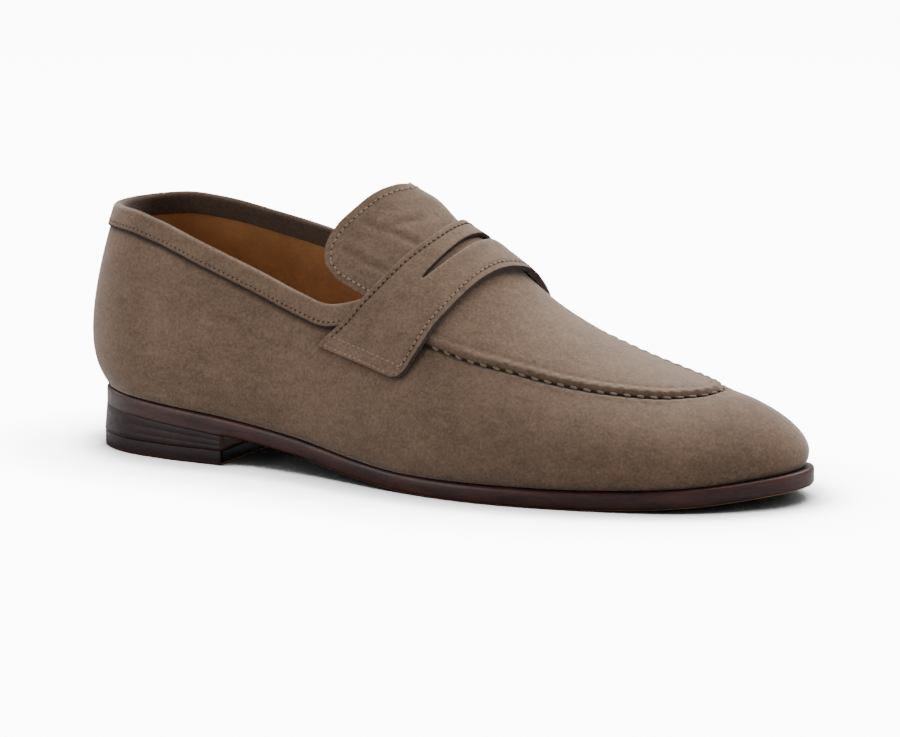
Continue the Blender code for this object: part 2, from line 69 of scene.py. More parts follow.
SOLE_PLAN = [
    # station, outer, inner
    (0.013, 0.155, 0.155), (0.060, 0.270, 0.268), (0.134, 0.320, 0.318), (0.221, 0.330, 0.312),
    (0.310, 0.348, 0.282), (0.400, 0.388, 0.266), (0.485, 0.450, 0.293), (0.555, 0.484, 0.352),
    (0.615, 0.495, 0.412), (0.675, 0.482, 0.466), (0.740, 0.448, 0.498), (0.805, 0.398, 0.497),
    (0.866, 0.330, 0.453), (0.914, 0.240, 0.377), (0.953, 0.134, 0.288), (0.983, 0.030, 0.190),
]
TOE_TIP = (0.994, 0.085)
SOLE_RISE = [
    # station, height of the sole's upper edge
    (0.000, 1.000), (0.100, 0.905), (0.221, 0.770), (0.335, 0.595), (0.436, 0.385), (0.520, 0.300),
    (0.590, FLAT_SHARE), (0.720, FLAT_SHARE), (0.800, 0.310), (0.870, 0.360), (0.940, 0.450),
    (1.000, 0.560),
]
WALL_SIDE = [
    # station, ledge, outer swell, inner swell, height of the swell
    (0.00, 1.2, 6.8, 6.8, 22.0), (0.05, 1.2, 5.2, 5.2, 22.0), (0.13, 1.2, 3.4, 3.4, 22.0),
    (0.30, 1.0, 3.0, 2.6, 20.0), (0.45, 1.0, 3.0, 3.0, 17.0), (0.62, 2.0, 2.6, 2.6, 12.0),
    (0.80, 2.8, 2.6, 2.4, 10.0), (0.92, 3.6, 2.4, 2.4, 8.0), (1.00, 4.2, 2.0, 2.0, 5.0),
]
TUCK_OUT = 0.70
TUCK_RISE = 0.28
SWELL_RISE = 0.45
RIDGE = [
    # station, sideways, height, side fullness, outer top fullness, inner top fullness
    (0.114, 0.000, 1.460, 0.32, 0.50, 0.50), (0.200, 0.000, 1.450, 0.39, 0.50, 0.50),
    (0.285, 0.012, 1.395, 0.39, 0.46, 0.48), (0.355, 0.030, 1.305, 0.36, 0.42, 0.48),
    (0.420, 0.048, 1.190, 0.34, 0.40, 0.56), (0.503, 0.058, 1.020, 0.36, 0.40, 0.54),
    (0.570, 0.065, 0.880, 0.40, 0.42, 0.52), (0.637, 0.072, 0.704, 0.44, 0.45, 0.62),
    (0.705, 0.075, 0.582, 0.46, 0.46, 0.68), (0.780, 0.075, 0.496, 0.48, 0.48, 0.68),
    (0.850, 0.075, 0.440, 0.49, 0.48, 0.57), (0.885, 0.075, 0.423, 0.40, 0.40, 0.42),
]
TOPLINE = [
    # station, outer height, inner height
    (0.000, 1.000, 1.000), (0.060, 0.995, 1.010), (0.114, 0.965, 0.998), (0.200, 0.880, 0.950),
    (0.285, 0.790, 0.900), (0.340, 0.728, 0.858), (0.385, 0.692, 0.815), (0.420, 0.712, 0.783),
    (0.465, 0.790, 0.765), (0.505, 0.870, 0.840), (0.545, 0.940, 0.940),
]
HEEL_CENTRE = 0.114
TOE_CENTRE = 0.885
HEEL_TURN = 0.15
TOE_TURN = 0.80
HEEL_X = HEEL_CENTRE * SOLE_LENGTH
TOE_X = TOE_CENTRE * SOLE_LENGTH
print("tables of the last:", len(SOLE_PLAN), "plan rows,", len(RIDGE), "ridge rows")


# %% Smooth curves through the tables
def smooth_curve(xs, ys):
    """A smooth curve through a table's points that never swings past them; takes numbers or arrays."""
    xs = np.array(xs, float)
    ys = np.array(ys, float)
    step = np.diff(xs)
    slope = np.diff(ys) / step
    tangent = np.zeros(len(xs))
    tangent[0] = slope[0]
    tangent[-1] = slope[-1]
    for k in range(1, len(xs) - 1):
        if slope[k - 1] * slope[k] > 0:
            before = 2 * step[k] + step[k - 1]
            after = step[k] + 2 * step[k - 1]
            tangent[k] = (before + after) / (before / slope[k - 1] + after / slope[k])

    def value(x):
        x = np.clip(x, xs[0], xs[-1])
        k = np.clip(np.searchsorted(xs, x, side="right") - 1, 0, len(xs) - 2)
        t = (x - xs[k]) / step[k]
        rise = ys[k] * (1 + 2 * t) * (1 - t) ** 2 + ys[k + 1] * t * t * (3 - 2 * t)
        return rise + step[k] * (tangent[k] * t * (1 - t) ** 2 - tangent[k + 1] * t * t * (1 - t))

    return value


def column_curves(table, share, *scales):
    """A smooth curve for each column of a table after its first, which holds the places."""
    rows = np.array(table, float)
    rows = rows[np.argsort(rows[:, 0])]
    return [smooth_curve(rows[:, 0] * share, rows[:, k + 1] * scale) for k, scale in enumerate(scales)]


def closed_curve(points, steps):
    """A smooth closed curve through the points of an outline."""
    points = np.array(points, float)
    curve = []
    for k in range(len(points)):
        before, start, end, after = (points[(k + j) % len(points)] for j in (-1, 0, 1, 2))
        gaps = [math.sqrt(np.linalg.norm(b - a)) for a, b in ((before, start), (start, end), (end, after))]
        leave = (start - before) / gaps[0] - (end - before) / (gaps[0] + gaps[1]) + (end - start) / gaps[1]
        reach = (end - start) / gaps[1] - (after - start) / (gaps[1] + gaps[2]) + (after - end) / gaps[2]
        for t in np.arange(steps) / steps:
            curve.append(start * (1 + 2 * t) * (1 - t) ** 2 + end * t * t * (3 - 2 * t)
                         + gaps[1] * (leave * t * (1 - t) ** 2 - reach * t * t * (1 - t)))
    return np.array(curve)


OUTLINE_STEPS = 12
outer_plan = [(x * SOLE_LENGTH, -w * BALL_WIDTH) for x, w, _ in SOLE_PLAN]
inner_plan = [(x * SOLE_LENGTH, w * BALL_WIDTH) for x, _, w in reversed(SOLE_PLAN)]
toe_point = [(TOE_TIP[0] * SOLE_LENGTH, TOE_TIP[1] * BALL_WIDTH)]
OUTLINE = closed_curve([(0.0, 0.0)] + outer_plan + toe_point + inner_plan, OUTLINE_STEPS)
(sole_top,) = column_curves(SOLE_RISE, SOLE_LENGTH, HEEL_SEAT_HEIGHT)
wall_ledge, outer_swell, inner_swell, swell_height = column_curves(WALL_SIDE, SOLE_LENGTH, 1, 1, 1, 1)
ridge_y, ridge_z, side_full, outer_full, inner_full = column_curves(
    RIDGE, SOLE_LENGTH, BALL_WIDTH, INSTEP_HEIGHT, 1, 1, 1)
outer_topline, inner_topline = column_curves(TOPLINE, SOLE_LENGTH, COLLAR_HEIGHT, COLLAR_HEIGHT)
print("sole outline of", len(OUTLINE), "points")


# %% [markdown]
# ## Ribs
# The wall of a shoe bends two ways at once. A surface object could be pulled into shape, but then each edge
# has to be found by eye. Here the wall hangs on ribs, like a boat's planks: each rib starts at the sole's
# edge, swells out and closes over the ridge, in two Bezier curves. Round heel and toe the ribs fan out.


# %% Steps, humps and reaches
def smooth_step(t):
    """From 0 to 1 with a soft start and a soft end."""
    t = np.clip(t, 0.0, 1.0)
    return t * t * (3 - 2 * t)


def bump_at(distance, width):
    """A soft hump of height 1 round zero."""
    return np.exp(-(distance / width) ** 2)


def reach_outline(starts, ways):
    """Distance from points inside the sole's plan to its edge, each along its own way."""
    along = np.roll(OUTLINE, -1, axis=0) - OUTLINE
    offset = OUTLINE[None] - starts[:, None]
    cross = ways[:, None, 0] * along[:, 1] - ways[:, None, 1] * along[:, 0]
    cross = np.where(np.abs(cross) < 1e-9, 1e-9, cross)
    distance = (offset[..., 0] * along[:, 1] - offset[..., 1] * along[:, 0]) / cross
    place = (offset[..., 0] * ways[:, None, 1] - offset[..., 1] * ways[:, None, 0]) / cross
    hit = (place >= -1e-6) & (place <= 1 + 1e-6) & (distance > 0)
    return np.where(hit, distance, np.inf).min(axis=1)


def bezier(a, b, c, d, steps):
    """Points along Bezier curves, one for each row of the four control points."""
    t = np.linspace(0, 1, steps)[None, :, None]
    a, b, c, d = (np.stack(np.broadcast_arrays(*p), axis=-1)[:, None] for p in (a, b, c, d))
    return a * (1 - t) ** 3 + 3 * b * t * (1 - t) ** 2 + 3 * c * t * t * (1 - t) + d * t ** 3


half_way = reach_outline(np.array([[SOLE_LENGTH / 2, 0.0]]), np.array([[0.0, -1.0]]))[0]
print("outer half width at half length:", round(half_way, 1), "mm")

# %% Ribs: upright sections of the last
LOW_STEPS = 50
HIGH_STEPS = 220


def ribs(starts, ways, outer):
    """Sections of the last: points from the sole's edge up to the ridge, their arcs, and where they stand."""
    x = starts[:, 0]
    reach = reach_outline(starts, ways)
    foot_x = x + ways[:, 0] * reach
    swell = np.where(outer, outer_swell(foot_x), inner_swell(foot_x))
    full = np.where(outer, outer_full(x), inner_full(x))
    low_r = reach - wall_ledge(foot_x)
    low_z = sole_top(x + ways[:, 0] * low_r) + SEAT_GAP
    wide_r = low_r + swell
    rise = swell_height(foot_x)
    wide_z = low_z + rise
    top_z = ridge_z(x)
    top_r = full * wide_r
    lean = (ridge_z(x) - ridge_z(x - 1.0)) * np.maximum(ways[:, 0], 0.0)
    lower = bezier((low_r, low_z), (low_r + TUCK_OUT * swell, low_z + TUCK_RISE * rise),
                   (wide_r, wide_z - SWELL_RISE * rise), (wide_r, wide_z), LOW_STEPS)
    higher = bezier((wide_r, wide_z), (wide_r, wide_z + side_full(x) * (top_z - wide_z)),
                    (top_r, top_z + lean * top_r), (0.0 * x, top_z), HIGH_STEPS)
    flat = np.concatenate([lower[:, :-1], higher], axis=1)
    points = np.concatenate([starts[:, None] + ways[:, None] * flat[..., :1], flat[..., 1:]], axis=2)
    steps = np.linalg.norm(np.diff(points, axis=1), axis=2)
    arcs = np.concatenate([np.zeros((len(x), 1)), np.cumsum(steps, axis=1)], axis=1)
    return points, arcs, foot_x


def spine(walk, outer):
    """Starts and ways of ribs, for walks from 0 at the heel's back to 1 at the toe's tip."""
    side = np.where(outer, -1.0, 1.0)
    heel_turn = np.clip(walk / HEEL_TURN, 0, 1) * math.pi / 2
    toe_turn = np.clip((walk - TOE_TURN) / (1 - TOE_TURN), 0, 1) * math.pi / 2
    share = np.clip((walk - HEEL_TURN) / (TOE_TURN - HEEL_TURN), 0, 1)
    x = HEEL_X + (TOE_X - HEEL_X) * share
    forward = np.sin(toe_turn) - np.cos(heel_turn)
    across = side * np.sin(heel_turn) * np.cos(toe_turn)
    return np.column_stack([x, ridge_y(x)]), np.column_stack([forward, across])


def walk_at(x):
    """The walk that stands at a station between heel and toe."""
    return HEEL_TURN + (TOE_TURN - HEEL_TURN) * (x - HEEL_X) / (TOE_X - HEEL_X)


def at_arcs(points, arcs, wanted):
    """Points along each rib at the wanted arcs, one row of arcs for each rib."""
    found = np.empty(wanted.shape + (3,))
    for k in range(len(points)):
        for axis in range(3):
            found[k, :, axis] = np.interp(wanted[k], arcs[k], points[k, :, axis])
    return found


print("ribs of", LOW_STEPS + HIGH_STEPS - 1, "points each")

# %% [markdown]
# ## A map of the last
# The strap, tongue and apron lie over the instep. A Shrinkwrap modifier could press flat pieces on the shoe,
# but it lets their edges slide. A map keeps them in place: a station along the shoe and an arc down from
# the ridge, minus on the outer side and plus on the inner side, give a point and the direction that stands
# off the surface. The map is a table of ribs, read between its entries.

# %% Map from station and arc to points and normals
MAP_STEP = 0.5
MAP_REACH = 150.0
MAP_LAST = 1.001
MAP_X = np.arange(HEEL_X, TOE_X + MAP_STEP / 2, MAP_STEP)
MAP_ARC = np.arange(-MAP_REACH, MAP_REACH + MAP_STEP / 2, MAP_STEP)


def map_of_last():
    """Points and normals of the last for every station and arc of the map."""
    sides = []
    for outer in (True, False):
        ways = np.tile([0.0, -1.0 if outer else 1.0], (len(MAP_X), 1))
        points, arcs, _ = ribs(np.column_stack([MAP_X, ridge_y(MAP_X)]), ways, outer)
        down = np.abs(MAP_ARC[MAP_ARC < 0]) if outer else MAP_ARC[MAP_ARC >= 0]
        sides.append(at_arcs(points, arcs, np.maximum(arcs[:, -1:] - down, 0.0)))
    places = np.concatenate(sides, axis=1)
    forward = np.gradient(places, axis=0)
    sideways = np.gradient(places, axis=1)
    normals = np.cross(forward, sideways)
    normals /= np.maximum(np.linalg.norm(normals, axis=2, keepdims=True), 1e-12)
    return places, normals


MAP_PLACES, MAP_NORMALS = map_of_last()


def on_last(x, arc):
    """Points of the last and their outward normals at stations and arcs."""
    x, arc = np.broadcast_arrays(np.asarray(x, float), np.asarray(arc, float))
    u = np.clip((x - MAP_X[0]) / MAP_STEP, 0, len(MAP_X) - MAP_LAST)
    v = np.clip((arc - MAP_ARC[0]) / MAP_STEP, 0, len(MAP_ARC) - MAP_LAST)
    i = u.astype(int)
    j = v.astype(int)
    a = (u - i)[..., None]
    b = (v - j)[..., None]

    def read(table):
        near = table[i, j] * (1 - b) + table[i, j + 1] * b
        far = table[i + 1, j] * (1 - b) + table[i + 1, j + 1] * b
        return near * (1 - a) + far * a

    normals = read(MAP_NORMALS)
    return read(MAP_PLACES), normals / np.linalg.norm(normals, axis=-1, keepdims=True)


print("map of the last:", MAP_PLACES.shape[:2])

# %% [markdown]
# ## Meshes
# Every piece starts as a grid of points, turned into quads. A soft piece gets its wall from a Solidify
# modifier, and a narrow Bevel rounds the cut edges of the thicker ones. The strap's two faces are drawn one
# by one and joined by a rim, because its underside has a shape of its own. A number called tone rides on
# each point and paints light and shade: below one it is painted shade in seams, grooves, folds and beside
# edges, above one it is painted light on crests and edges. Those marks could be painted by hand, but a number
# that is worked out from the seams moves with them.


# %% Grids
def grid_faces(rows, columns, closed=False):
    """Quads of a grid of points, row by row; a closed grid joins its last column to its first."""
    index = np.arange(rows * columns).reshape(rows, columns)
    if closed:
        index = np.column_stack([index, index[:, 0]])
    quads = np.stack([index[:-1, :-1], index[:-1, 1:], index[1:, 1:], index[1:, :-1]], axis=-1)
    return quads.reshape(-1, 4)


def grid_normals(points, closed=False):
    """Normals of a grid from its own neighbours."""
    if closed:
        wide = np.concatenate([points[:, -1:], points, points[:, :1]], axis=1)
        sideways = np.gradient(wide, axis=1)[:, 1:-1]
    else:
        sideways = np.gradient(points, axis=1)
    up = np.gradient(points, axis=0)
    normals = np.cross(sideways, up)
    return normals / np.maximum(np.linalg.norm(normals, axis=2, keepdims=True), 1e-12)


def close_sheet(faces, count):
    """Faces of a sheet with two sides: the given ones, their backs, and a rim along every free edge."""
    edges = np.concatenate([faces[:, [k, (k + 1) % 4]] for k in range(4)])
    forth, back = edges @ [count, 1], edges @ [1, count]
    free = edges[~np.isin(forth, back)]
    rim = np.column_stack([free[:, 1], free[:, 0], free[:, 0] + count, free[:, 1] + count])
    return np.concatenate([faces, faces[:, ::-1] + count, rim]), len(rim)


print("a grid of 3 by 4 points:", len(grid_faces(3, 4)), "faces, closed", len(grid_faces(3, 4, True)))


# %% Pieces
def add_piece(name, points, faces, materials, tone=None, weld=0.002, face_material=None):
    """A mesh object in the frame's metres, from points in the last's millimetres."""
    mesh = bpy.data.meshes.new(name)
    points = np.asarray(points, float).reshape(-1, 3)
    faces = faces.tolist() if isinstance(faces, np.ndarray) else faces
    mesh.from_pydata(((points + FRAME_SHIFT) * MM).tolist(), [], faces)
    for material in materials:
        mesh.materials.append(material)
    if face_material is not None:
        mesh.polygons.foreach_set("material_index", np.asarray(face_material, np.int32))
    shade = mesh.attributes.new("tone", "FLOAT", "POINT")
    tone = np.ones(len(points)) if tone is None else np.asarray(tone, float).ravel()
    shade.data.foreach_set("value", tone.astype(np.float32))
    if weld:
        bm = bmesh.new()
        bm.from_mesh(mesh)
        bmesh.ops.remove_doubles(bm, verts=bm.verts, dist=weld * MM)
        bmesh.ops.dissolve_degenerate(bm, edges=bm.edges, dist=weld * MM)
        bmesh.ops.recalc_face_normals(bm, faces=bm.faces)
        bm.to_mesh(mesh)
        bm.free()
    mesh.shade_smooth()
    piece = bpy.data.objects.new(name, mesh)
    bpy.context.scene.collection.objects.link(piece)
    return piece


def give_wall(piece, thickness, inward, rim=0, under=0):
    """Thickness for an open sheet; rim and under choose the materials of its cut edge and its back."""
    wall = piece.modifiers.new("wall", "SOLIDIFY")
    wall.thickness = thickness * MM
    wall.offset = -1.0 if inward else 1.0
    wall.material_offset_rim = rim
    wall.material_offset = under


def round_edges(piece, width, steps=3, angle=48):
    """A bevel along all edges sharper than the angle."""
    bevel = piece.modifiers.new("edge", "BEVEL")
    bevel.width = width * MM
    bevel.segments = steps
    bevel.limit_method = "ANGLE"
    bevel.angle_limit = math.radians(angle)
    bevel.use_clamp_overlap = True


def dress(piece, slot, *nodes):
    """Tie a piece to the shoe: it rides on the one body and may replace solids. The slot is not used."""
    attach(piece, "root")
    if nodes:
        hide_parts(*nodes)
    mesh = piece.data
    print(piece.name, "has", len(mesh.vertices), "points", "for " + ", ".join(nodes) if nodes else "")
    return piece


def outward(piece, centre):
    """Turn all faces of an open sheet away from a point inside the shoe."""
    mesh = piece.data
    middle = (np.array(centre) + FRAME_SHIFT) * MM
    lean = sum(float(np.dot(np.array(face.center) - middle, face.normal)) * face.area
               for face in mesh.polygons)
    if lean < 0:
        mesh.flip_normals()


# %% [markdown]
# ## Finishes
# Suede is leather with its fibres brushed up. It shows soft lighter and darker patches where the nap lies
# another way, a fine grain, and small bright fibre ends. It has no gloss, only a sheen at grazing angles.
# Hair could stand for the fibres, but at this size they are finer than a pixel: layers of noise, a little
# relief and the shader's sheen are enough. The layers are one node group, because vamp, strap, tongue and
# facing all share them. The smooth leathers of sole, heel and lining share a second group with streaks,
# pores and creases.


# %% Node helpers
def node_group(name, inputs, outputs):
    """A new node group with its sockets, and its input and output nodes."""
    group = bpy.data.node_groups.new(name, "ShaderNodeTree")
    for label, kind, value in inputs:
        group.interface.new_socket(label, in_out="INPUT", socket_type=kind).default_value = value
    for label, kind in outputs:
        group.interface.new_socket(label, in_out="OUTPUT", socket_type=kind)
    return group, group.nodes.new("NodeGroupInput"), group.nodes.new("NodeGroupOutput")


def place_node(tree, kind, values=None, **settings):
    """A node with its settings; plain values are set on its sockets, other nodes' outputs are linked."""
    node = tree.nodes.new(kind)
    for key, value in settings.items():
        setattr(node, key, value)
    for key, value in (values or {}).items():
        if hasattr(value, "is_output"):
            tree.links.new(value, node.inputs[key])
        else:
            node.inputs[key].default_value = value
    return node


def blend_colours(tree, first, second, share):
    """Two colours mixed by a share; a Mix node keeps its colours in sockets 6 and 7."""
    return place_node(tree, "ShaderNodeMix", {0: share, 6: first, 7: second}, data_type="RGBA").outputs[2]


def maths(tree, how, first, second):
    return place_node(tree, "ShaderNodeMath", {0: first, 1: second}, operation=how).outputs[0]


def noise(tree, where, scale, detail, roughness, distortion=0.0):
    values = {"Vector": where, "Scale": scale, "Detail": detail, "Roughness": roughness,
              "Distortion": distortion}
    return place_node(tree, "ShaderNodeTexNoise", values).outputs[0]


def stretch(tree, value, low, high, to_low=0.0, to_high=1.0):
    values = {0: value, 1: low, 2: high, 3: to_low, 4: to_high}
    return place_node(tree, "ShaderNodeMapRange", values).outputs[0]


def layer(tree, value, low, high, share):
    """One layer of a finish: a noise stretched over its range, times its share of the whole."""
    return maths(tree, "MULTIPLY", stretch(tree, value, low, high), share)


def toned(tree, colour):
    """A colour times the tone that rides on the mesh's points, which paints light and shade into it."""
    tone = place_node(tree, "ShaderNodeAttribute", attribute_name="tone").outputs["Fac"]
    return place_node(tree, "ShaderNodeVectorMath", {0: colour, 3: tone}, operation="SCALE").outputs[0]


# %% Node groups: suede nap and smooth leather
COLOUR = "NodeSocketColor"
NUMBER = "NodeSocketFloat"
BRUSHED_WAY = (0.7, 1.0, 1.4)
# noises: scale, detail, roughness, distortion; patches and clouds take their scale from a socket
PATCH_NOISE = (2.0, 0.5)
STROKE_NOISE = (210.0, 4.0, 0.62)
GRAIN_NOISE = (900.0, 3.0, 0.65)
FIBRE_NOISE = (2300.0, 2.0, 0.6)
CLOUD_NOISE = (5.0, 0.6, 0.3)
CREASE_NOISE = (420.0, 5.0, 0.65, 0.4)
PORE_SCALE = 1100.0
# the part of each noise's range that is used
PATCH_RANGE = (0.28, 0.72)
STROKE_RANGE = (0.28, 0.72)
GRAIN_RANGE = (0.30, 0.70)
FLECK_RANGE = (0.56, 0.72)
CLOUD_RANGE = (0.30, 0.72)
CREASE_RANGE = (0.3, 0.7)
PATCH_SHARE = 0.22
STROKE_SHARE = 0.28
GRAIN_SHARE = 0.50
GRAIN_RELIEF = 0.6
FIBRE_RELIEF = 0.4
PORE_RELIEF = 0.5
CREASE_RELIEF = 0.8
POLISH_ROUGHNESS = (0.34, 0.52)


def suede_nap_group():
    tree, start, end = node_group(
        "Suede nap",
        [("Dark", COLOUR, (0.10, 0.07, 0.05, 1)), ("Light", COLOUR, (0.3, 0.23, 0.18, 1)),
         ("Patch scale", NUMBER, 40.0), ("Fleck", NUMBER, 0.25)],
        [("Colour", COLOUR), ("Height", NUMBER)])
    where = place_node(tree, "ShaderNodeTexCoord").outputs["Object"]
    patch = noise(tree, where, start.outputs["Patch scale"], *PATCH_NOISE)
    brushed = place_node(tree, "ShaderNodeMapping", {"Vector": where, "Scale": BRUSHED_WAY}).outputs[0]
    stroke = noise(tree, brushed, *STROKE_NOISE)
    grain = noise(tree, where, *GRAIN_NOISE)
    fibre = noise(tree, where, *FIBRE_NOISE)
    soft = maths(tree, "ADD", layer(tree, patch, *PATCH_RANGE, PATCH_SHARE),
                 layer(tree, stroke, *STROKE_RANGE, STROKE_SHARE))
    share = maths(tree, "ADD", soft, layer(tree, grain, *GRAIN_RANGE, GRAIN_SHARE))
    colour = blend_colours(tree, start.outputs["Dark"], start.outputs["Light"], share)
    fleck = layer(tree, fibre, *FLECK_RANGE, start.outputs["Fleck"])
    colour = blend_colours(tree, colour, start.outputs["Light"], fleck)
    height = maths(tree, "ADD", maths(tree, "MULTIPLY", grain, GRAIN_RELIEF),
                   maths(tree, "MULTIPLY", fibre, FIBRE_RELIEF))
    tree.links.new(toned(tree, colour), end.inputs["Colour"])
    tree.links.new(height, end.inputs["Height"])
    return tree


def smooth_leather_group():
    tree, start, end = node_group(
        "Smooth leather",
        [("Dark", COLOUR, (0.03, 0.02, 0.015, 1)), ("Light", COLOUR, (0.1, 0.05, 0.03, 1)),
         ("Streak", NUMBER, 1.0), ("Scale", NUMBER, 60.0)],
        [("Colour", COLOUR), ("Height", NUMBER), ("Roughness", NUMBER)])
    where = place_node(tree, "ShaderNodeTexCoord").outputs["Object"]
    squash = place_node(tree, "ShaderNodeCombineXYZ", {0: 1.0, 1: 1.0, 2: start.outputs["Streak"]}).outputs[0]
    streaked = place_node(tree, "ShaderNodeVectorMath", {0: where, 1: squash}, operation="MULTIPLY").outputs[0]
    cloud = noise(tree, streaked, start.outputs["Scale"], *CLOUD_NOISE)
    pores = place_node(tree, "ShaderNodeTexVoronoi", {"Vector": where, "Scale": PORE_SCALE}).outputs["Distance"]
    creases = noise(tree, where, *CREASE_NOISE)
    share = stretch(tree, cloud, *CLOUD_RANGE)
    colour = blend_colours(tree, start.outputs["Dark"], start.outputs["Light"], share)
    height = maths(tree, "ADD", maths(tree, "MULTIPLY", pores, PORE_RELIEF),
                   maths(tree, "MULTIPLY", creases, CREASE_RELIEF))
    tree.links.new(toned(tree, colour), end.inputs["Colour"])
    tree.links.new(height, end.inputs["Height"])
    tree.links.new(stretch(tree, creases, *CREASE_RANGE, *POLISH_ROUGHNESS), end.inputs["Roughness"])
    return tree


NAP = suede_nap_group()
LEATHER = smooth_leather_group()
print("node groups:", NAP.name, "and", LEATHER.name)

# %% [markdown]
# ## Colours
# A finish could be one flat colour, but leather never is. Each material gives its group the darkest and the
# lightest colour that the nap or the polish shows, and the Principled shader adds sheen or gloss. Suede of
# the upper and of the strap differ a little, as two cuts of one hide do; the facing is the band's suede made
# darker, as painted shade inside the shoe. Cut edges are dark, and the near-black needle holes are painted
# shade.


# %% Materials
def new_material(name, group, values, bump, bump_reach, **sockets):
    """A Principled material that takes colour and relief from a node group."""
    material = bpy.data.materials.new(name)
    material.use_nodes = True
    tree = material.node_tree
    shader = tree.nodes["Principled BSDF"]
    source = tree.nodes.new("ShaderNodeGroup")
    source.node_tree = group
    for key, value in values.items():
        source.inputs[key].default_value = value
    tree.links.new(source.outputs["Colour"], shader.inputs["Base Color"])
    relief = place_node(tree, "ShaderNodeBump", {"Strength": bump, "Distance": bump_reach * MM,
                                                 "Height": source.outputs["Height"]})
    tree.links.new(relief.outputs[0], shader.inputs["Normal"])
    if "Roughness" in source.outputs and "Roughness" not in sockets:
        tree.links.new(source.outputs["Roughness"], shader.inputs["Roughness"])
    for key, value in sockets.items():
        shader.inputs[key.replace("_", " ")].default_value = value
    return material


SUEDE_BUMP = 0.55
SUEDE_BUMP_REACH = 0.35
SUEDE_SOCKETS = {"Roughness": 0.95, "Specular_IOR_Level": 0.12, "Sheen_Roughness": 0.45,
                 "Sheen_Tint": (1.0, 0.93, 0.86, 1.0)}
LEATHER_BUMP_REACH = 0.25


def suede(name, dark, light, patch=42.0, fleck=0.25, sheen=0.35):
    values = {"Dark": dark + (1,), "Light": light + (1,), "Patch scale": patch, "Fleck": fleck}
    return new_material(name, NAP, values, SUEDE_BUMP, SUEDE_BUMP_REACH, Sheen_Weight=sheen, **SUEDE_SOCKETS)


def leather(name, dark, light, streak, scale, bump=0.25, **sockets):
    values = {"Dark": dark + (1,), "Light": light + (1,), "Streak": streak, "Scale": scale}
    return new_material(name, LEATHER, values, bump, LEATHER_BUMP_REACH, **sockets)


SUEDE = suede("brown suede", (0.058, 0.036, 0.0235), (0.185, 0.121, 0.082))
TRIM = suede("strap suede", (0.060, 0.037, 0.0245), (0.188, 0.123, 0.083), 52.0)
# the band's own suede, darker: painted shade for the facing inside the shoe
SHADED_FACING = suede("shaded facing suede", (0.042, 0.027, 0.020), (0.105, 0.070, 0.053), 60.0)
CUT_EDGE = suede("cut edge", (0.022, 0.0135, 0.0135), (0.056, 0.036, 0.036), 120.0, 0.1, 0.05)
THREAD = suede("light thread", (0.140, 0.094, 0.066), (0.260, 0.182, 0.132), 300.0, 0.1)
APRON_THREAD = suede("apron thread", (0.094, 0.062, 0.043), (0.188, 0.128, 0.090), 300.0, 0.1)
# near-black rods in the holes and slits between stitches: painted shade
HOLE_SHADE = suede("needle hole", (0.016, 0.010, 0.008), (0.028, 0.019, 0.015), 300.0, 0.0, 0.0)
LINING = leather("lining leather", (0.215, 0.095, 0.034), (0.330, 0.160, 0.066), 1.0, 45.0, 0.2)
SOCK = leather("sock leather", (0.36, 0.19, 0.095), (0.48, 0.275, 0.150), 1.0, 38.0, 0.2)
SOLE_EDGE = leather("sole edge", (0.013, 0.0046, 0.0046), (0.056, 0.0155, 0.0115), 6.0, 55.0, 0.2,
                    Specular_IOR_Level=0.3)
HEEL_EDGE = leather("heel edge", (0.0100, 0.0052, 0.0068), (0.030, 0.0115, 0.0120), 9.0, 45.0, 0.2,
                    Specular_IOR_Level=0.16)
TREAD_EDGE = leather("tread edge", (0.022, 0.0095, 0.0080), (0.055, 0.0210, 0.0150), 6.0, 45.0, 0.2,
                     Specular_IOR_Level=0.2)
NATURAL = leather("natural leather", (0.24, 0.130, 0.066), (0.39, 0.235, 0.130), 1.0, 60.0, 0.3, Roughness=0.6)
print("materials:", len(bpy.data.materials))

# %% [markdown]
# ## The apron's seam
# The apron is a tongue-shaped panel sewn on top of the vamp. Its rolled edge stands up as a ridge, and the
# vamp is gathered against it by stout stitches about five millimetres apart. A bump texture could suggest
# that, but the ridge shows in the outline, so it has to be real shape. Both panels need to know how far a
# point is from the seam, so the seam is drawn first and kept in a search tree.

# %% Seam line of the apron
APRON_EDGE = [
    # station, outer, inner
    (0.490, 0.575, 0.415), (0.576, 0.525, 0.340), (0.640, 0.438, 0.265), (0.705, 0.366, 0.208),
    (0.765, 0.296, 0.180), (0.825, 0.200, 0.158), (0.850, 0.134, 0.118), (0.862, 0.092, 0.085),
    (0.869, 0.045, 0.045), (0.872, 0.000, 0.000),
]
APRON_BACK = 0.566
APRON_BACK_SWEEP = 0.046
APRON_TIP_X = APRON_EDGE[-1][0] * SOLE_LENGTH
SEAM_PITCH = 5.0
SEAM_SAMPLES = 600
SEAM_STEP = 0.25
outer_apron, inner_apron = column_curves(APRON_EDGE, SOLE_LENGTH, BALL_WIDTH, BALL_WIDTH)


def apron_place(along, side):
    """Station and arc of the apron: along from under the strap to the tip, side from -1 outer to 1 inner."""
    back = (APRON_BACK - APRON_BACK_SWEEP * side * side) * SOLE_LENGTH
    x = back + (APRON_TIP_X - back) * np.sin(math.pi / 2 * along)
    return x, side * np.where(side < 0, outer_apron(x), inner_apron(x))


def even_path(points, step):
    """The same path with points an even step apart, and the arc at each."""
    points = np.asarray(points, float)
    arcs = np.concatenate([[0.0], np.cumsum(np.linalg.norm(np.diff(points[:, :3], axis=0), axis=1))])
    wanted = np.arange(0.0, arcs[-1], step)
    return np.column_stack([np.interp(wanted, arcs, points[:, k]) for k in range(points.shape[1])]), wanted


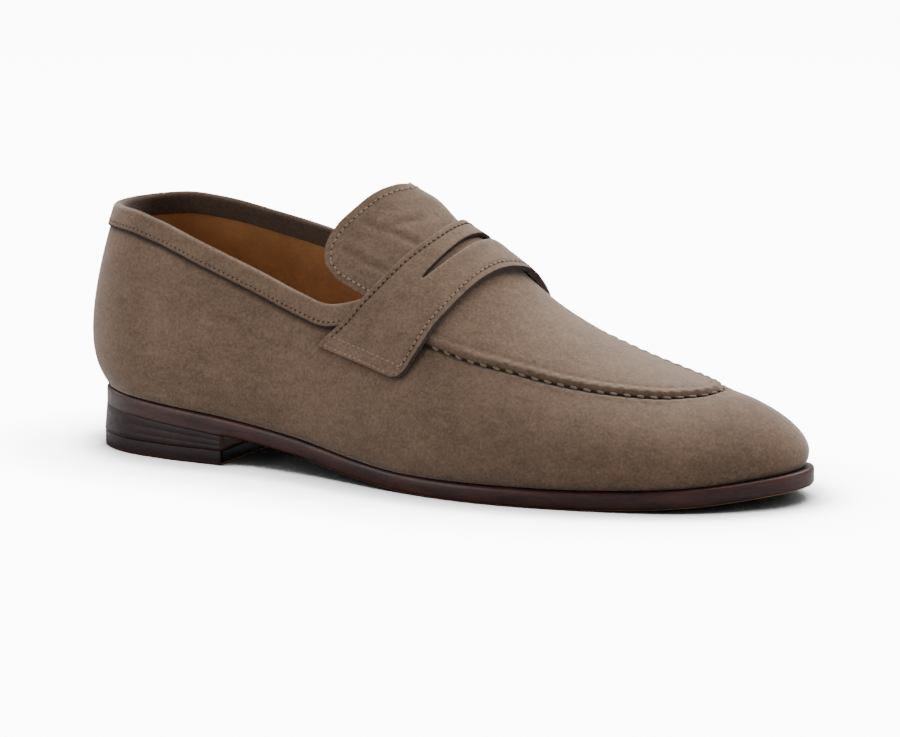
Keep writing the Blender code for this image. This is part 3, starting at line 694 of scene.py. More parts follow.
way = np.linspace(0, 1, SEAM_SAMPLES)
outer_seam = np.column_stack(apron_place(way, -np.ones_like(way)))
inner_seam = np.column_stack(apron_place(way[::-1], np.ones_like(way)))[1:]
SEAM_MAP = np.concatenate([outer_seam, inner_seam])
seam_3d, _ = on_last(SEAM_MAP[:, 0], SEAM_MAP[:, 1])
SEAM, SEAM_ARCS = even_path(np.column_stack([seam_3d, SEAM_MAP]), SEAM_STEP)
SEAM_TREE = KDTree(len(SEAM))
for number, spot in enumerate(SEAM[:, :3]):
    SEAM_TREE.insert(spot, number)
SEAM_TREE.balance()


def seam_distance(points):
    """Distance of each point from the apron's seam, and the arc of the nearest place on it."""
    flat = points.reshape(-1, 3)
    found = [SEAM_TREE.find(spot)[1:] for spot in flat]
    number = np.array([item[0] for item in found])
    away = np.array([item[1] for item in found])
    return away.reshape(points.shape[:-1]), SEAM_ARCS[number].reshape(points.shape[:-1])


def pucker_at(arc):
    """A wave along the seam, highest beside each stitch."""
    return np.cos(2 * math.pi * arc / SEAM_PITCH)


print("apron seam:", round(SEAM_ARCS[-1]), "mm long")

# %% [markdown]
# ## The upper
# One wall of suede runs round the foot, open above the heel and closed over the toes. A cage of few points
# under a Subdivision modifier could give its form, but not the fine groove of the seam. So it is lofted from
# ribs, with rows crowded near the apron's seam, where the groove and the small puckers need them. Its lower
# edge turns in under the foot, where the sole holds it.


# %% Columns and rows round the wall
def wall_top(points, arcs, foot_x, start_x, outer):
    """Arc at which each rib is cut by the topline, or its whole length where the vamp is closed."""
    table_x = np.where(start_x > HEEL_X, start_x, foot_x)
    height = np.where(outer, outer_topline(table_x), inner_topline(table_x))
    return np.array([np.interp(h, rib[:, 2], arc) if h < rib[-1, 2] else arc[-1]
                     for h, rib, arc in zip(height, points, arcs)])


VAMP_X = 0.78 * SOLE_LENGTH


def round_walks(heel, side, vamp, toe):
    """Walks round the shoe by the outer side and back by the inner side, and which of them are outer."""
    one = np.concatenate([np.linspace(0, HEEL_TURN, heel)[:-1], walk_at(np.linspace(HEEL_X, VAMP_X, side))[:-1],
                          walk_at(np.linspace(VAMP_X, TOE_X, vamp))[:-1], np.linspace(TOE_TURN, 1, toe)])
    outer = np.arange(2 * len(one) - 2) < len(one)
    return np.concatenate([one, one[-2:0:-1]]), outer


def spread(marks, counts):
    """Rows between marks: each mark is an array with one arc for each column."""
    rows = []
    for low, high, count in zip(marks[:-1], marks[1:], counts):
        rows.append(low[:, None] + (high - low)[:, None] * (np.arange(count) / count)[None])
    return np.concatenate(rows + [marks[-1][:, None]], axis=1)


def waves(points, size):
    """A slow, uneven swell over a surface, as leather has when it comes off the last."""
    x, y, z = (points[..., k] / size for k in range(3))
    return (np.sin(1.3 * x + 0.7 * z + 0.4) * np.cos(0.9 * y - 1.1 * z + 1.2)
            + 0.6 * np.sin(2.1 * x - 1.3 * y + 2.0) * np.sin(1.7 * z + 0.8 * x))


print("collar height at the back:", outer_topline(0.0).round(1), "mm")

# %% Upper shell
APRON_FROM = 0.3 * SOLE_LENGTH
SEAM_MARGIN_BELOW = 8.0
SEAM_MARGIN_ABOVE = 2.5
TURN_IN = 3.0
WALL = 1.0
GROOVE_DEPTH = 0.65
GROOVE_WIDTH = 1.2
GROOVE_SHADE = 0.55
GROOVE_SHADE_WIDTH = 0.8
ROLL_AWAY = 2.3
ROLL_HEIGHT = 0.26
ROLL_PUCKER = 0.20
ROLL_WIDTH = 1.4
ROLL_SHADE = 0.06
ROLL_SHADE_WIDTH = 1.3
UPPER_WAVE = 0.16
UPPER_WAVE_SIZE = 26.0
FOOT_SHADE = 0.30
FOOT_SHADE_WIDTH = 1.6
TURNED_SHADE = 0.5
LIGHT_AND_SHADE_PATCHES = [
    # place (mm), reach (mm), change of tone: painted shade low on the vamp, the toe and the heel's back,
    # painted light on both quarters
    ((200.0, -44.0, 26.0), 36.0, -0.13), ((248.0, -36.0, 26.0), 24.0, -0.08),
    ((150.0, -36.0, 30.0), 26.0, -0.05), ((58.0, -34.0, 48.0), 24.0, 0.05),
    ((190.0, 44.0, 28.0), 34.0, -0.08), ((70.0, 32.0, 40.0), 26.0, 0.05),
    ((274.0, -18.0, 20.0), 15.0, -0.09), ((20.0, -26.0, 38.0), 18.0, -0.06),
]
UPPER_COLUMNS = (32, 126, 56, 40)
UPPER_ROWS = (40, 26, 12)
SEAM_ROW = UPPER_ROWS[0] + UPPER_ROWS[1]
INSIDE_SHOE = (120.0, 0.0, 35.0)


def upper_shell():
    walk, outer = round_walks(*UPPER_COLUMNS)
    starts, ways = spine(walk, outer)
    points, arcs, foot_x = ribs(starts, ways, outer)
    top = wall_top(points, arcs, foot_x, starts[:, 0], outer)
    edge = np.where(outer, outer_apron(starts[:, 0]), inner_apron(starts[:, 0]))
    seam = np.where(starts[:, 0] > APRON_FROM, arcs[:, -1] - edge, top)
    high = np.minimum(seam + SEAM_MARGIN_ABOVE, top)
    low = np.minimum(seam - SEAM_MARGIN_BELOW, high - SEAM_MARGIN_BELOW)
    wanted = spread([np.zeros_like(top), low, high, top], UPPER_ROWS)
    sheet = at_arcs(points, arcs, wanted).transpose(1, 0, 2)
    normals = grid_normals(sheet, closed=True)
    away, along = seam_distance(sheet)
    pucker = pucker_at(along)
    roll = (ROLL_HEIGHT + ROLL_PUCKER * pucker) * bump_at(away - ROLL_AWAY, ROLL_WIDTH)
    relief = -GROOVE_DEPTH * bump_at(away, GROOVE_WIDTH)
    relief += np.where(wanted.T < seam, roll, 0.0)
    relief += UPPER_WAVE * waves(sheet, UPPER_WAVE_SIZE)
    sheet = sheet + normals * relief[..., None]
    cut_short = top - high < 1e-6
    sheet[SEAM_ROW + 1:, cut_short] = sheet[SEAM_ROW, cut_short]
    # painted shade in the seam's groove, painted light on the puckers' crests and shade between them, and
    # painted shade low on the wall where it meets the sole
    tone = 1 - GROOVE_SHADE * bump_at(away, GROOVE_SHADE_WIDTH)
    tone = tone + ROLL_SHADE * pucker * bump_at(away - ROLL_AWAY, ROLL_SHADE_WIDTH)
    tone *= 1 - FOOT_SHADE * bump_at(wanted.T, FOOT_SHADE_WIDTH)
    # painted shade and painted light over the wall, where the lamps should leave it darker or lighter
    for place, reach, change in LIGHT_AND_SHADE_PATCHES:
        tone *= 1 + change * bump_at(np.linalg.norm(sheet - np.array(place), axis=-1), reach)
    turned = sheet[:1].copy()
    turned[0, :, :2] -= ways * TURN_IN
    turned[0, :, 2] -= SEAT_GAP
    sheet = np.concatenate([turned, sheet])
    # the edge turned in under the sole is in painted shade
    tone = np.concatenate([TURNED_SHADE * np.ones((1, len(walk))), tone])
    piece = add_piece("upper_shell", sheet, grid_faces(len(sheet), len(walk), True), [SUEDE], tone)
    outward(piece, INSIDE_SHOE)
    give_wall(piece, WALL, True)
    return piece


dress(upper_shell(), "suede", "upper")

# %% [markdown]
# ## The lining
# Inside, a thin tan leather lies against the suede. The upper's own back could have a second material, but
# then suede and lining could not end at different heights. It is a second sheet on the same ribs, set in by
# the wall's thickness and stopped short of the top edge, where a suede facing takes over.

# %% Lining
LINING_OUT = 1.15
LINING_WALL = 0.35
LINING_STOP = 4.0
SLACK = 0.01
LINING_COLUMNS = (20, 70, 24, 20)
LINING_ROWS = 34


def lining_sheet():
    walk, outer = round_walks(*LINING_COLUMNS)
    starts, ways = spine(walk, outer)
    points, arcs, foot_x = ribs(starts, ways, outer)
    top = wall_top(points, arcs, foot_x, starts[:, 0], outer)
    open_top = top < arcs[:, -1] - SLACK
    end = np.where(open_top, top - LINING_STOP, top)
    sheet = at_arcs(points, arcs, spread([np.zeros_like(top), end], [LINING_ROWS])).transpose(1, 0, 2)
    piece = add_piece("quarter_lining", sheet, grid_faces(len(sheet), len(walk), True), [LINING])
    outward(piece, INSIDE_SHOE)
    shrink = piece.modifiers.new("inset", "DISPLACE")
    shrink.mid_level = 0.0
    shrink.strength = -LINING_OUT * MM
    give_wall(piece, LINING_WALL, True)
    return piece


dress(lining_sheet(), "sock_leather")

# %% [markdown]
# ## The collar band
# A strip of suede is sewn round the opening. Seen from outside it is about ten millimetres wide, ends in a
# dark step, and carries a fine row of stitches; it folds over the edge and becomes the facing inside. A
# curve with a bevel profile would be quick, but its ends could not slant in under the strap. One sheet does
# all of that: up the outside, over a half circle, and down the inside.

# %% Rows of the collar band
OUTER_BAND_END = (0.420, 0.452)
INNER_BAND_END = (0.466, 0.506)
BAND_CROWDING = 0.35
ROW_CLIMB = 0.4


def band_columns(count):
    """Turns from -1 at the inner band end, round the heel at 0, to 1 at the outer end, closer at the heel."""
    turn = np.linspace(-1, 1, count)
    return turn * (0.5 + 0.5 * turn ** 2) * BAND_CROWDING + turn * (1 - BAND_CROWDING)


def band_ribs(turn, up):
    """Ribs at the turns of the band; up, from 0 at its raw edge to 1 at the top edge, slants both ends."""
    outer = turn >= 0
    low, high = (np.where(outer, OUTER_BAND_END[k], INNER_BAND_END[k]) for k in (0, 1))
    walk = np.abs(turn) * walk_at((low + (high - low) * up) * SOLE_LENGTH)
    starts, ways = spine(walk, outer)
    points, arcs, foot_x = ribs(starts, ways, outer)
    return points, arcs, wall_top(points, arcs, foot_x, starts[:, 0], outer), ways


def band_row(turn, up, depth, out):
    """A row of the band: depth below the top edge along the wall, and out from the wall's face."""
    points, arcs, top, ways = band_ribs(turn, up)
    wanted = np.column_stack([top - depth - ROW_CLIMB, top - depth, top - depth + ROW_CLIMB])
    near = at_arcs(points, arcs, wanted)
    climb = near[:, 2] - near[:, 0]
    climb /= np.linalg.norm(climb, axis=1, keepdims=True)
    level = np.column_stack([ways, np.zeros(len(ways))])
    stand = level - climb * np.sum(level * climb, axis=1, keepdims=True)
    stand /= np.linalg.norm(stand, axis=1, keepdims=True)
    return near[:, 1] + stand * out, stand, climb


back_of_heel = band_row(np.zeros(1), 1.0, 0.0, 0.0)[0][0]
print("the band's top at the back of the heel:", back_of_heel.round(1), "mm")

# %% Collar band
BAND_WIDTH = 9.5
BAND_OUT = 1.1
FACING_IN = 2.15
FACING_DEPTH = 9.0
BAND_WALL = 0.75
BAND_EDGE_ROUND = 0.25
BAND_RAW_EDGE = 0.75
BAND_COLUMNS = 220
BAND_OUTSIDE_ROWS = 11
BAND_FOLD_STEPS = 9
BAND_FACING_ROWS = 9
BAND_FACING_STRIP = 16
BAND_SWELL = 0.12
BAND_SWELL_DEPTH = 2.6
BAND_SWELL_WIDTH = 1.8
BAND_EDGE_SHADE = 0.55
BAND_EDGE_SHADE_WIDTH = 0.9
FOLD_HIGHLIGHT = 1.08
FOLD_SHADE_INWARD = 0.2
FACING_SHADE = 0.75
BAND_WAVE = 0.06
BAND_WAVE_SIZE = 9.0


def collar_band():
    turn = band_columns(BAND_COLUMNS)
    radius = (BAND_OUT + FACING_IN) / 2
    middle = (BAND_OUT - FACING_IN) / 2
    rows = []
    tones = []
    outside = np.linspace(BAND_WIDTH - BAND_RAW_EDGE, radius, BAND_OUTSIDE_ROWS)
    for depth in np.concatenate([[BAND_WIDTH], outside]):
        up = 1 - depth / BAND_WIDTH
        swell = BAND_SWELL * bump_at(depth - BAND_SWELL_DEPTH, BAND_SWELL_WIDTH)
        rows.append(band_row(turn, up, depth, BAND_OUT + swell)[0])
        # painted shade on the band's face just above its raw lower edge
        tones.append(1 - BAND_EDGE_SHADE * bump_at(depth - BAND_WIDTH, BAND_EDGE_SHADE_WIDTH))
    for bend in np.linspace(0, math.pi, BAND_FOLD_STEPS)[1:-1]:
        place, stand, climb = band_row(turn, 1.0, radius, middle)
        rows.append(place + stand * radius * math.cos(bend) + climb * radius * math.sin(bend))
        # painted highlight on the outside of the fold, fading to painted shade as it turns inside
        tones.append(FOLD_HIGHLIGHT - FOLD_SHADE_INWARD * bend / math.pi)
    for depth in np.linspace(radius, FACING_DEPTH, BAND_FACING_ROWS):
        rows.append(band_row(turn, 1.0, depth, -FACING_IN)[0])
        # the facing inside the shoe is in painted shade
        tones.append(FACING_SHADE)
    sheet = np.array(rows)
    sheet += BAND_WAVE * waves(sheet, BAND_WAVE_SIZE)[..., None] * grid_normals(sheet)
    tone = np.repeat(tones, len(turn))
    faces = grid_faces(len(sheet), len(turn))
    strip = np.arange(len(sheet) - 1)
    finish = np.where(strip == 0, 2, (strip >= BAND_FACING_STRIP).astype(int))
    finish = np.repeat(finish, len(turn) - 1)
    piece = add_piece("collar_binding", sheet, faces, [TRIM, SHADED_FACING, CUT_EDGE], tone, 0, finish)
    first = np.array(piece.data.polygons[0].normal)
    if first @ band_row(turn[:1], 0.0, BAND_WIDTH, 0.0)[1][0] < 0:
        piece.data.flip_normals()
    give_wall(piece, BAND_WALL, True, rim=2)
    round_edges(piece, BAND_EDGE_ROUND, 2)
    return piece


dress(collar_band(), "suede_trim", "collar_band")

# %% [markdown]
# ## The apron
# The apron's middle is smooth and takes the most light. Along the seam its edge is rolled: it drops into
# the groove, rises to a ridge about three millimetres wide, and dips once more before it lies flat. The
# stitches pull small waves into the ridge. A Bevel could round the edge, but not roll it, so the height of
# each point comes from its distance to the seam.

# %% Apron panel
APRON_HEIGHT = 1.7
APRON_WALL = 1.2
APRON_ROWS = 170
APRON_COLUMNS = 150
APRON_CROWDING = 0.85
APRON_FOOT = 0.15
APRON_ROLL = 1.7
APRON_ROLL_POWER = 0.75
RIDGE_AWAY = 2.4
RIDGE_HEIGHT = 0.24
RIDGE_PUCKER = 0.20
RIDGE_WIDTH = 1.4
DIP_AWAY = 4.6
DIP_DEPTH = 0.20
DIP_PUCKER = 0.14
DIP_WIDTH = 1.3
APRON_WAVE = 0.14
APRON_WAVE_SIZE = 22.0
APRON_FLAT_FROM = 4
APRON_FLAT_OVER = 10
APRON_SHADES = [
    # painted shade in the groove, on the roll's outer wall and in the dip: depth, distance from the seam, width
    (0.50, 0.0, 0.7), (0.16, 1.3, 1.0), (0.06, DIP_AWAY, 1.1),
]
# painted light on the apron's flat middle
APRON_LIGHT = 0.07
UNDER_APRON = (200.0, 0.0, 0.0)


def crowd(count, edge):
    """Shares from -1 to 1 with more of them near both ends."""
    t = np.linspace(-1, 1, count)
    return (1 - edge) * t + edge * np.sin(math.pi / 2 * t)


def apron_panel():
    along = np.linspace(0, 1, APRON_ROWS)[:, None]
    side = crowd(APRON_COLUMNS, APRON_CROWDING)[None]
    x, arc = apron_place(along + 0 * side, side + 0 * along)
    base, normals = on_last(x, arc)
    away, place = seam_distance(base)
    pucker = pucker_at(place)
    flat = smooth_step((away - APRON_FLAT_FROM) / APRON_FLAT_OVER)
    height = APRON_FOOT + (APRON_HEIGHT - APRON_FOOT) * smooth_step(away / APRON_ROLL) ** APRON_ROLL_POWER
    height += (RIDGE_HEIGHT + RIDGE_PUCKER * pucker) * bump_at(away - RIDGE_AWAY, RIDGE_WIDTH)
    height -= (DIP_DEPTH + DIP_PUCKER * pucker) * bump_at(away - DIP_AWAY, DIP_WIDTH)
    height += APRON_WAVE * waves(base, APRON_WAVE_SIZE) * flat
    sheet = base + normals * height[..., None]
    # painted shade along the seam and painted light on the flat middle
    tone = 1.0
    for depth, where, width in APRON_SHADES:
        tone = tone - depth * bump_at(away - where, width)
    tone += APRON_LIGHT * flat
    piece = add_piece("apron_panel", sheet, grid_faces(*sheet.shape[:2]), [SUEDE], tone)
    outward(piece, UNDER_APRON)
    give_wall(piece, APRON_WALL, True)
    return piece


dress(apron_panel(), "suede", "apron")

# %% [markdown]
# ## The tongue
# A rounded tab comes out from under the strap and lies on the instep. It is soft: its crest stands up a
# little behind the free edge, and a few shallow wrinkles run along it. Cloth physics could fold it, but not
# twice the same way, so the wrinkles are placed one by one, as short soft grooves with a fuller side.

# %% Outline of the tongue
TONGUE_OUTLINE = [
    # share of the half width, tip, base
    (0.00, 0.427, 0.560), (0.12, 0.418, 0.557), (0.25, 0.406, 0.551), (0.45, 0.390, 0.538),
    (0.65, 0.374, 0.520), (0.82, 0.367, 0.503), (0.93, 0.371, 0.490), (1.00, 0.390, 0.480),
]
TONGUE_OUTER_ARC = 52.0
TONGUE_INNER_ARC = 33.0
TONGUE_DIP = 2.6
TONGUE_DIP_SIDE = 0.24
TONGUE_DIP_WIDTH = 0.22
TONGUE_ROOT_FROM = 0.2
TONGUE_ROOT_GROWTH = 21.0
tongue_tip, tongue_base = column_curves(TONGUE_OUTLINE, 1, SOLE_LENGTH, SOLE_LENGTH)


def tongue_edge(side):
    """Station of the tab's free edge, which dips a little just inside the crest."""
    return tongue_tip(np.abs(side)) + TONGUE_DIP * bump_at(side - TONGUE_DIP_SIDE, TONGUE_DIP_WIDTH)


def tongue_root(side):
    """Station of the tab's sewn end, further forward on the inner side, to lie under all of the slot."""
    return tongue_base(np.abs(side)) + TONGUE_ROOT_GROWTH * np.maximum(side - TONGUE_ROOT_FROM, 0.0)


def tongue_place(along, side):
    """Station and arc of the tab: along from its free edge to its base, side from -1 outer to 1 inner."""
    tip = tongue_edge(side)
    x = tip + (tongue_root(side) - tip) * along
    return x, side * np.where(side < 0, TONGUE_OUTER_ARC, TONGUE_INNER_ARC)


print("tongue:", (tongue_root(0.0) - tongue_edge(0.0)).round(1), "mm long on the ridge")

# %% Face of the tongue
TONGUE_WALL = 1.4
TONGUE_CROWN = 3.2
TONGUE_CROWN_ARC = 9.0
TONGUE_CROWN_REACH = 10.0
TONGUE_CROWN_ALONG = 0.26
TONGUE_CROWN_LENGTH = 0.23
TONGUE_CURL = 0.7
TONGUE_CURL_LENGTH = 0.10
TONGUE_CURL_CORNER = 6
TONGUE_HIDDEN_FROM = 0.64
TONGUE_HIDDEN_OVER = 0.12
TONGUE_HIDDEN_RISE = 0.35
WRINKLE_WIDTH = 1.5
WRINKLE_FULL_SHARE = 0.5
WRINKLE_FULL_AWAY = 3.0
WRINKLE_FULL_WIDTH = 2.0
WRINKLES = [
    # start station, start arc, end station, end arc, depth
    (0.410, -26.2, 0.476, -21.5, 0.42),
    (0.395, -40.0, 0.450, -39.0, 0.48),
    (0.442, -21.0, 0.466, -12.0, 0.30),
    (0.412, 16.0, 0.470, 20.0, 0.36),
]


def line_distance(x, arc, first, last):
    """Distance on the map from a straight line."""
    start = np.array(first)
    way = np.array(last) - start
    offset = np.stack([x - start[0], arc - start[1]], axis=-1)
    near = np.clip(offset @ way / (way @ way), 0, 1)[..., None] * way
    return np.linalg.norm(offset - near, axis=-1)


def wrinkles_near(x, arc):
    """Distance from each wrinkle, with the wrinkle's depth."""
    return [(line_distance(x, arc, (x0 * SOLE_LENGTH, arc0), (x1 * SOLE_LENGTH, arc1)), depth)
            for x0, arc0, x1, arc1, depth in WRINKLES]


def under_strap(along):
    """From 0 where the tab is free to 1 where it lies under the strap, close below the slot."""
    return smooth_step((along - TONGUE_HIDDEN_FROM) / TONGUE_HIDDEN_OVER)


def tongue_height(x, arc, along, side):
    """How high the tab's outer face stands over the last, with its turned-up edge, crest and wrinkles."""
    crest = bump_at(arc - TONGUE_CROWN_ARC, TONGUE_CROWN_REACH)
    curl = TONGUE_CURL * bump_at(along, TONGUE_CURL_LENGTH) * (1 - np.abs(side) ** TONGUE_CURL_CORNER)
    height = SEAT_GAP + TONGUE_WALL + curl
    height = height + TONGUE_CROWN * crest * bump_at(along - TONGUE_CROWN_ALONG, TONGUE_CROWN_LENGTH)
    height = height + TONGUE_HIDDEN_RISE * under_strap(along)
    for away, depth in wrinkles_near(x, arc):
        height = height - depth * bump_at(away, WRINKLE_WIDTH)
        height = height + WRINKLE_FULL_SHARE * depth * bump_at(away - WRINKLE_FULL_AWAY, WRINKLE_FULL_WIDTH)
    return height


print("wrinkles on the tongue:", len(WRINKLES))

# %% Tongue
TONGUE_HIDDEN_LIGHT = 0.30
TONGUE_EDGE_LIGHT = 0.06
TONGUE_EDGE_LIGHT_LENGTH = 0.03
TONGUE_ROWS = 90
TONGUE_ROW_CROWDING = 1.3
TONGUE_COLUMNS = 120
TONGUE_CROWDING = 0.8
TONGUE_EDGE_ROUND = 0.35
UNDER_TONGUE = (140.0, 0.0, 0.0)
WRINKLE_SHADE = 0.24
WRINKLE_SHADE_WIDTH = 1.8


def tongue_tab():
    along = np.linspace(0, 1, TONGUE_ROWS)[:, None] ** TONGUE_ROW_CROWDING
    side = crowd(TONGUE_COLUMNS, TONGUE_CROWDING)[None]
    along, side = np.broadcast_arrays(along, side)
    x, arc = tongue_place(along, side)
    base, normals = on_last(x, arc)
    sheet = base + normals * tongue_height(x, arc, along, side)[..., None]
    # painted light on the curled free edge and on the part under the strap that shows in the slot, painted
    # shade along the wrinkles
    tone = 1.0 + TONGUE_EDGE_LIGHT * bump_at(along, TONGUE_EDGE_LIGHT_LENGTH)
    tone = tone + TONGUE_HIDDEN_LIGHT * under_strap(along)
    tone = tone - sum(WRINKLE_SHADE * depth * bump_at(away, WRINKLE_SHADE_WIDTH)
                      for away, depth in wrinkles_near(x, arc))
    piece = add_piece("tongue_tab", sheet, grid_faces(*sheet.shape[:2]), [SUEDE, CUT_EDGE, LINING], tone)
    outward(piece, UNDER_TONGUE)
    give_wall(piece, TONGUE_WALL, True, rim=1, under=2)
    round_edges(piece, TONGUE_EDGE_ROUND, 2)
    return piece


dress(tongue_tab(), "suede", "tongue")

# %% [markdown]
# ## The saddle strap
# The strap crosses the instep, with a crescent slot cut in its middle. Its front edge is raw and stands
# off the apron up to the ridge, then lies tight on the inner side; its outer end is cut square, with one
# round and one sharp corner. A Boolean could cut the slot, but it leaves ragged faces. The sheet's rows
# follow both edges and the slot, so the slot is simply a strip of faces left out.

# %% Outline of the strap and its slot
STRAP_OUTLINE = [
    # arc, back edge, front edge, slot line
    (-0.770, 0.377, 0.503, 0.42), (-0.700, 0.394, 0.515, 0.42), (-0.600, 0.418, 0.529, 0.42),
    (-0.500, 0.438, 0.538, 0.42), (-0.400, 0.455, 0.549, 0.42), (-0.300, 0.470, 0.559, 0.42),
    (-0.200, 0.485, 0.568, 0.41), (-0.100, 0.496, 0.577, 0.39), (0.000, 0.502, 0.588, 0.38),
    (0.080, 0.503, 0.598, 0.39), (0.160, 0.502, 0.604, 0.40), (0.280, 0.493, 0.600, 0.42),
    (0.400, 0.468, 0.583, 0.42), (0.500, 0.436, 0.555, 0.42),
]
STRAP_BACK_CORNER = 2.0
STRAP_FRONT_CORNER = 4.5
SLOT_HALF_LENGTH = 34.0
SLOT_HALF_WIDTH = 1.8
SLOT_END_WIDTH = 0.12
SLOT_MARKS = (3 / 8, 4 / 8)
FIRST_ARC = STRAP_OUTLINE[0][0] * BALL_WIDTH
LAST_ARC = STRAP_OUTLINE[-1][0] * BALL_WIDTH
strap_back, strap_front, strap_slot = column_curves(STRAP_OUTLINE, BALL_WIDTH, SOLE_LENGTH, SOLE_LENGTH, 1)


def corner_cut(end, radius):
    """How far a rounded corner takes an edge in, at a distance from the end."""
    short = np.maximum(0.0, radius - end)
    return radius - np.sqrt(np.maximum(radius * radius - short * short, 0.0))


def strap_edges(arc):
    """Stations of the strap's back and front edges at an arc."""
    end = np.minimum(arc - FIRST_ARC, LAST_ARC - arc)
    back = strap_back(arc) + corner_cut(end, STRAP_BACK_CORNER)
    front = strap_front(arc) - corner_cut(end, STRAP_FRONT_CORNER)
    return back, front


def slot_half_width(arc):
    """Half the slot's width at an arc; beyond the slot's ends it only spaces the rows."""
    away = np.abs(arc) / SLOT_HALF_LENGTH
    inside = SLOT_HALF_WIDTH * np.sqrt(np.maximum(1 - away * away, 0.0))
    outside = SLOT_END_WIDTH + SLOT_HALF_WIDTH * smooth_step(4 * (away - 1))
    return np.where(away < 1, np.maximum(inside, SLOT_END_WIDTH), outside)


def strap_station(arc, along):
    """Station of a place on the strap: along runs from the back edge to the front edge by way of the slot."""
    back, front = strap_edges(arc)
    half = slot_half_width(arc) / (front - back)
    line = strap_slot(arc)
    low, high = SLOT_MARKS
    behind = along / low * (line - half)
    between = line - half + (along - low) / (high - low) * 2 * half
    ahead = line + half + (along - high) / (1 - high) * (1 - line - half)
    place = np.where(along < low, behind, np.where(along < high, between, ahead))
    return back + (front - back) * place


def strap_along(arc, x):
    """The same the other way round: along for a station."""
    back, front = strap_edges(arc)
    place = (x - back) / (front - back)
    line = strap_slot(arc)
    low, high = SLOT_MARKS
    return np.where(place < line, place / line * low, high + (place - line) / (1 - line) * (1 - high))


print("strap:", round(LAST_ARC - FIRST_ARC), "mm from end to end, slot", round(2 * SLOT_HALF_LENGTH), "mm")

# %% Strap surface
STRAP_END_SLANT = 5.0
STRAP_FALL = 12.0
STRAP_OUTER_CLEAR = 1.5
STRAP_OUTER_FRONT_CLEAR = 6.0
STRAP_INNER_CLEAR = 5.0
STRAP_FRONT_LIFT = 1.2
STRAP_FRONT_LIFT_REACH = 20.0
STRAP_INNER_FROM = 2.0
STRAP_INNER_FULL = 16.0
STRAP_INNER_SINK = 0.3
STRAP_WALL = 2.0


def strap_clear(arc, along):
    """Arc up to which the strap lies over the tongue or the apron, before it falls to the vamp."""
    outer = TONGUE_OUTER_ARC + STRAP_OUTER_CLEAR + STRAP_OUTER_FRONT_CLEAR * along ** 3
    return np.where(arc < 0, outer, TONGUE_INNER_ARC + STRAP_INNER_CLEAR)


def strap_tight(arc):
    """From 0 on the outer side to 1 past the ridge, where the strap lies tight on the apron."""
    return smooth_step((arc - STRAP_INNER_FROM) / (STRAP_INNER_FULL - STRAP_INNER_FROM))


def strap_lift(arc, along):
    """How far the strap's underside stands off the last."""
    clear = strap_clear(arc, along)
    front = STRAP_FRONT_LIFT - (STRAP_FRONT_LIFT + STRAP_INNER_SINK) * strap_tight(arc)
    front = front * along ** 2 * smooth_step(2 - np.abs(arc) / STRAP_FRONT_LIFT_REACH)
    over = APRON_HEIGHT + SEAT_GAP + front
    return SEAT_GAP + over * smooth_step((clear + STRAP_FALL - np.abs(arc)) / STRAP_FALL)


def strap_slant(arc, x):
    """The strap's end is not cut along a rib: it drops towards the front."""
    back, front = strap_edges(arc)
    return STRAP_END_SLANT * ((x - back) / (front - back) - 0.5) * smooth_step(arc / FIRST_ARC)


def on_strap(arc, along, x, extra=0.0):
    """Points on the strap's outer face and their normals."""
    base, normals = on_last(x, arc + strap_slant(arc, x))
    height = strap_lift(arc, along) + STRAP_WALL + extra
    return base + normals * height[..., None], normals


top_arc, top_share = np.zeros(1), np.full(1, 0.5)
strap_crest = on_strap(top_arc, top_share, strap_station(top_arc, top_share))[0][0]
print("strap on the ridge:", strap_crest.round(1), "mm")

# %% [markdown]
# ## The strap's leather
# The surface above says where the strap lies; the leather has relief of its own. Its edges are rounded, the
# stitches press a shallow furrow beside them, the slot's lips curl up, and both ends swell over the seam
# inside. A sculpting brush could do this, but a height for each point keeps the furrow under the stitches.

# %% Grid of the strap
EDGE_SHARES = np.array([0.0, 0.003, 0.008, 0.016])
EDGE_INNERMOST = 0.04
STRAP_COLUMNS = 260
STRAP_CROWDING = 0.92
BACK_ROWS = 20
SLOT_STRIPS = 3
FRONT_ROWS = 26
SLOT_FIRST_STRIP = len(EDGE_SHARES) + BACK_ROWS - 1


def strap_grid():
    """Arcs and shares of the strap's points, crowded at the ends, with rows along both edges and the slot."""
    arc = (FIRST_ARC + LAST_ARC) / 2 + (LAST_ARC - FIRST_ARC) / 2 * crowd(STRAP_COLUMNS, STRAP_CROWDING)
    low, high = SLOT_MARKS
    along = np.concatenate([EDGE_SHARES, np.linspace(EDGE_INNERMOST, low, BACK_ROWS),
                            np.linspace(low, high, SLOT_STRIPS + 1)[1:-1],
                            np.linspace(high, 1 - EDGE_INNERMOST, FRONT_ROWS), 1 - EDGE_SHARES[::-1]])
    return np.meshgrid(arc, along)


print("points of the strap's face:", strap_grid()[0].size)

# %% Strap leather
LIP_REACH = 0.75
FRONT_LIP = (0.35, 0.07, 0.07)
BACK_LIP = (0.15, -0.04, 0.06)
FURROW_AWAY = 2.3
FURROW_DEPTH = 0.18
FURROW_WIDTH = 0.8
FURROW_SHADE = 0.08
FURROW_SHADE_WIDTH = 0.7
END_SWELL = 0.3
END_SWELL_AWAY = 3.8
END_SWELL_WIDTH = 2.0
END_LIGHT = 0.06
EDGE_LIGHT = 0.07
EDGE_LIGHT_WIDTH = 1.0
STRAP_WAVE = 0.07
STRAP_WAVE_SIZE = 11.0
EDGE_ROUND = 0.4
INNER_EDGE_ROUND = 0.9
INNER_EDGE_LIGHT = 0.3
INNER_EDGE_LIGHT_WIDTH = 0.5
INNER_RIM_LIGHT = 1.6
RAW_EDGE = 0.3
UNDER_FROM = 0.06
UNDER_FALL = 2.0
FINE_WELD = 0.001


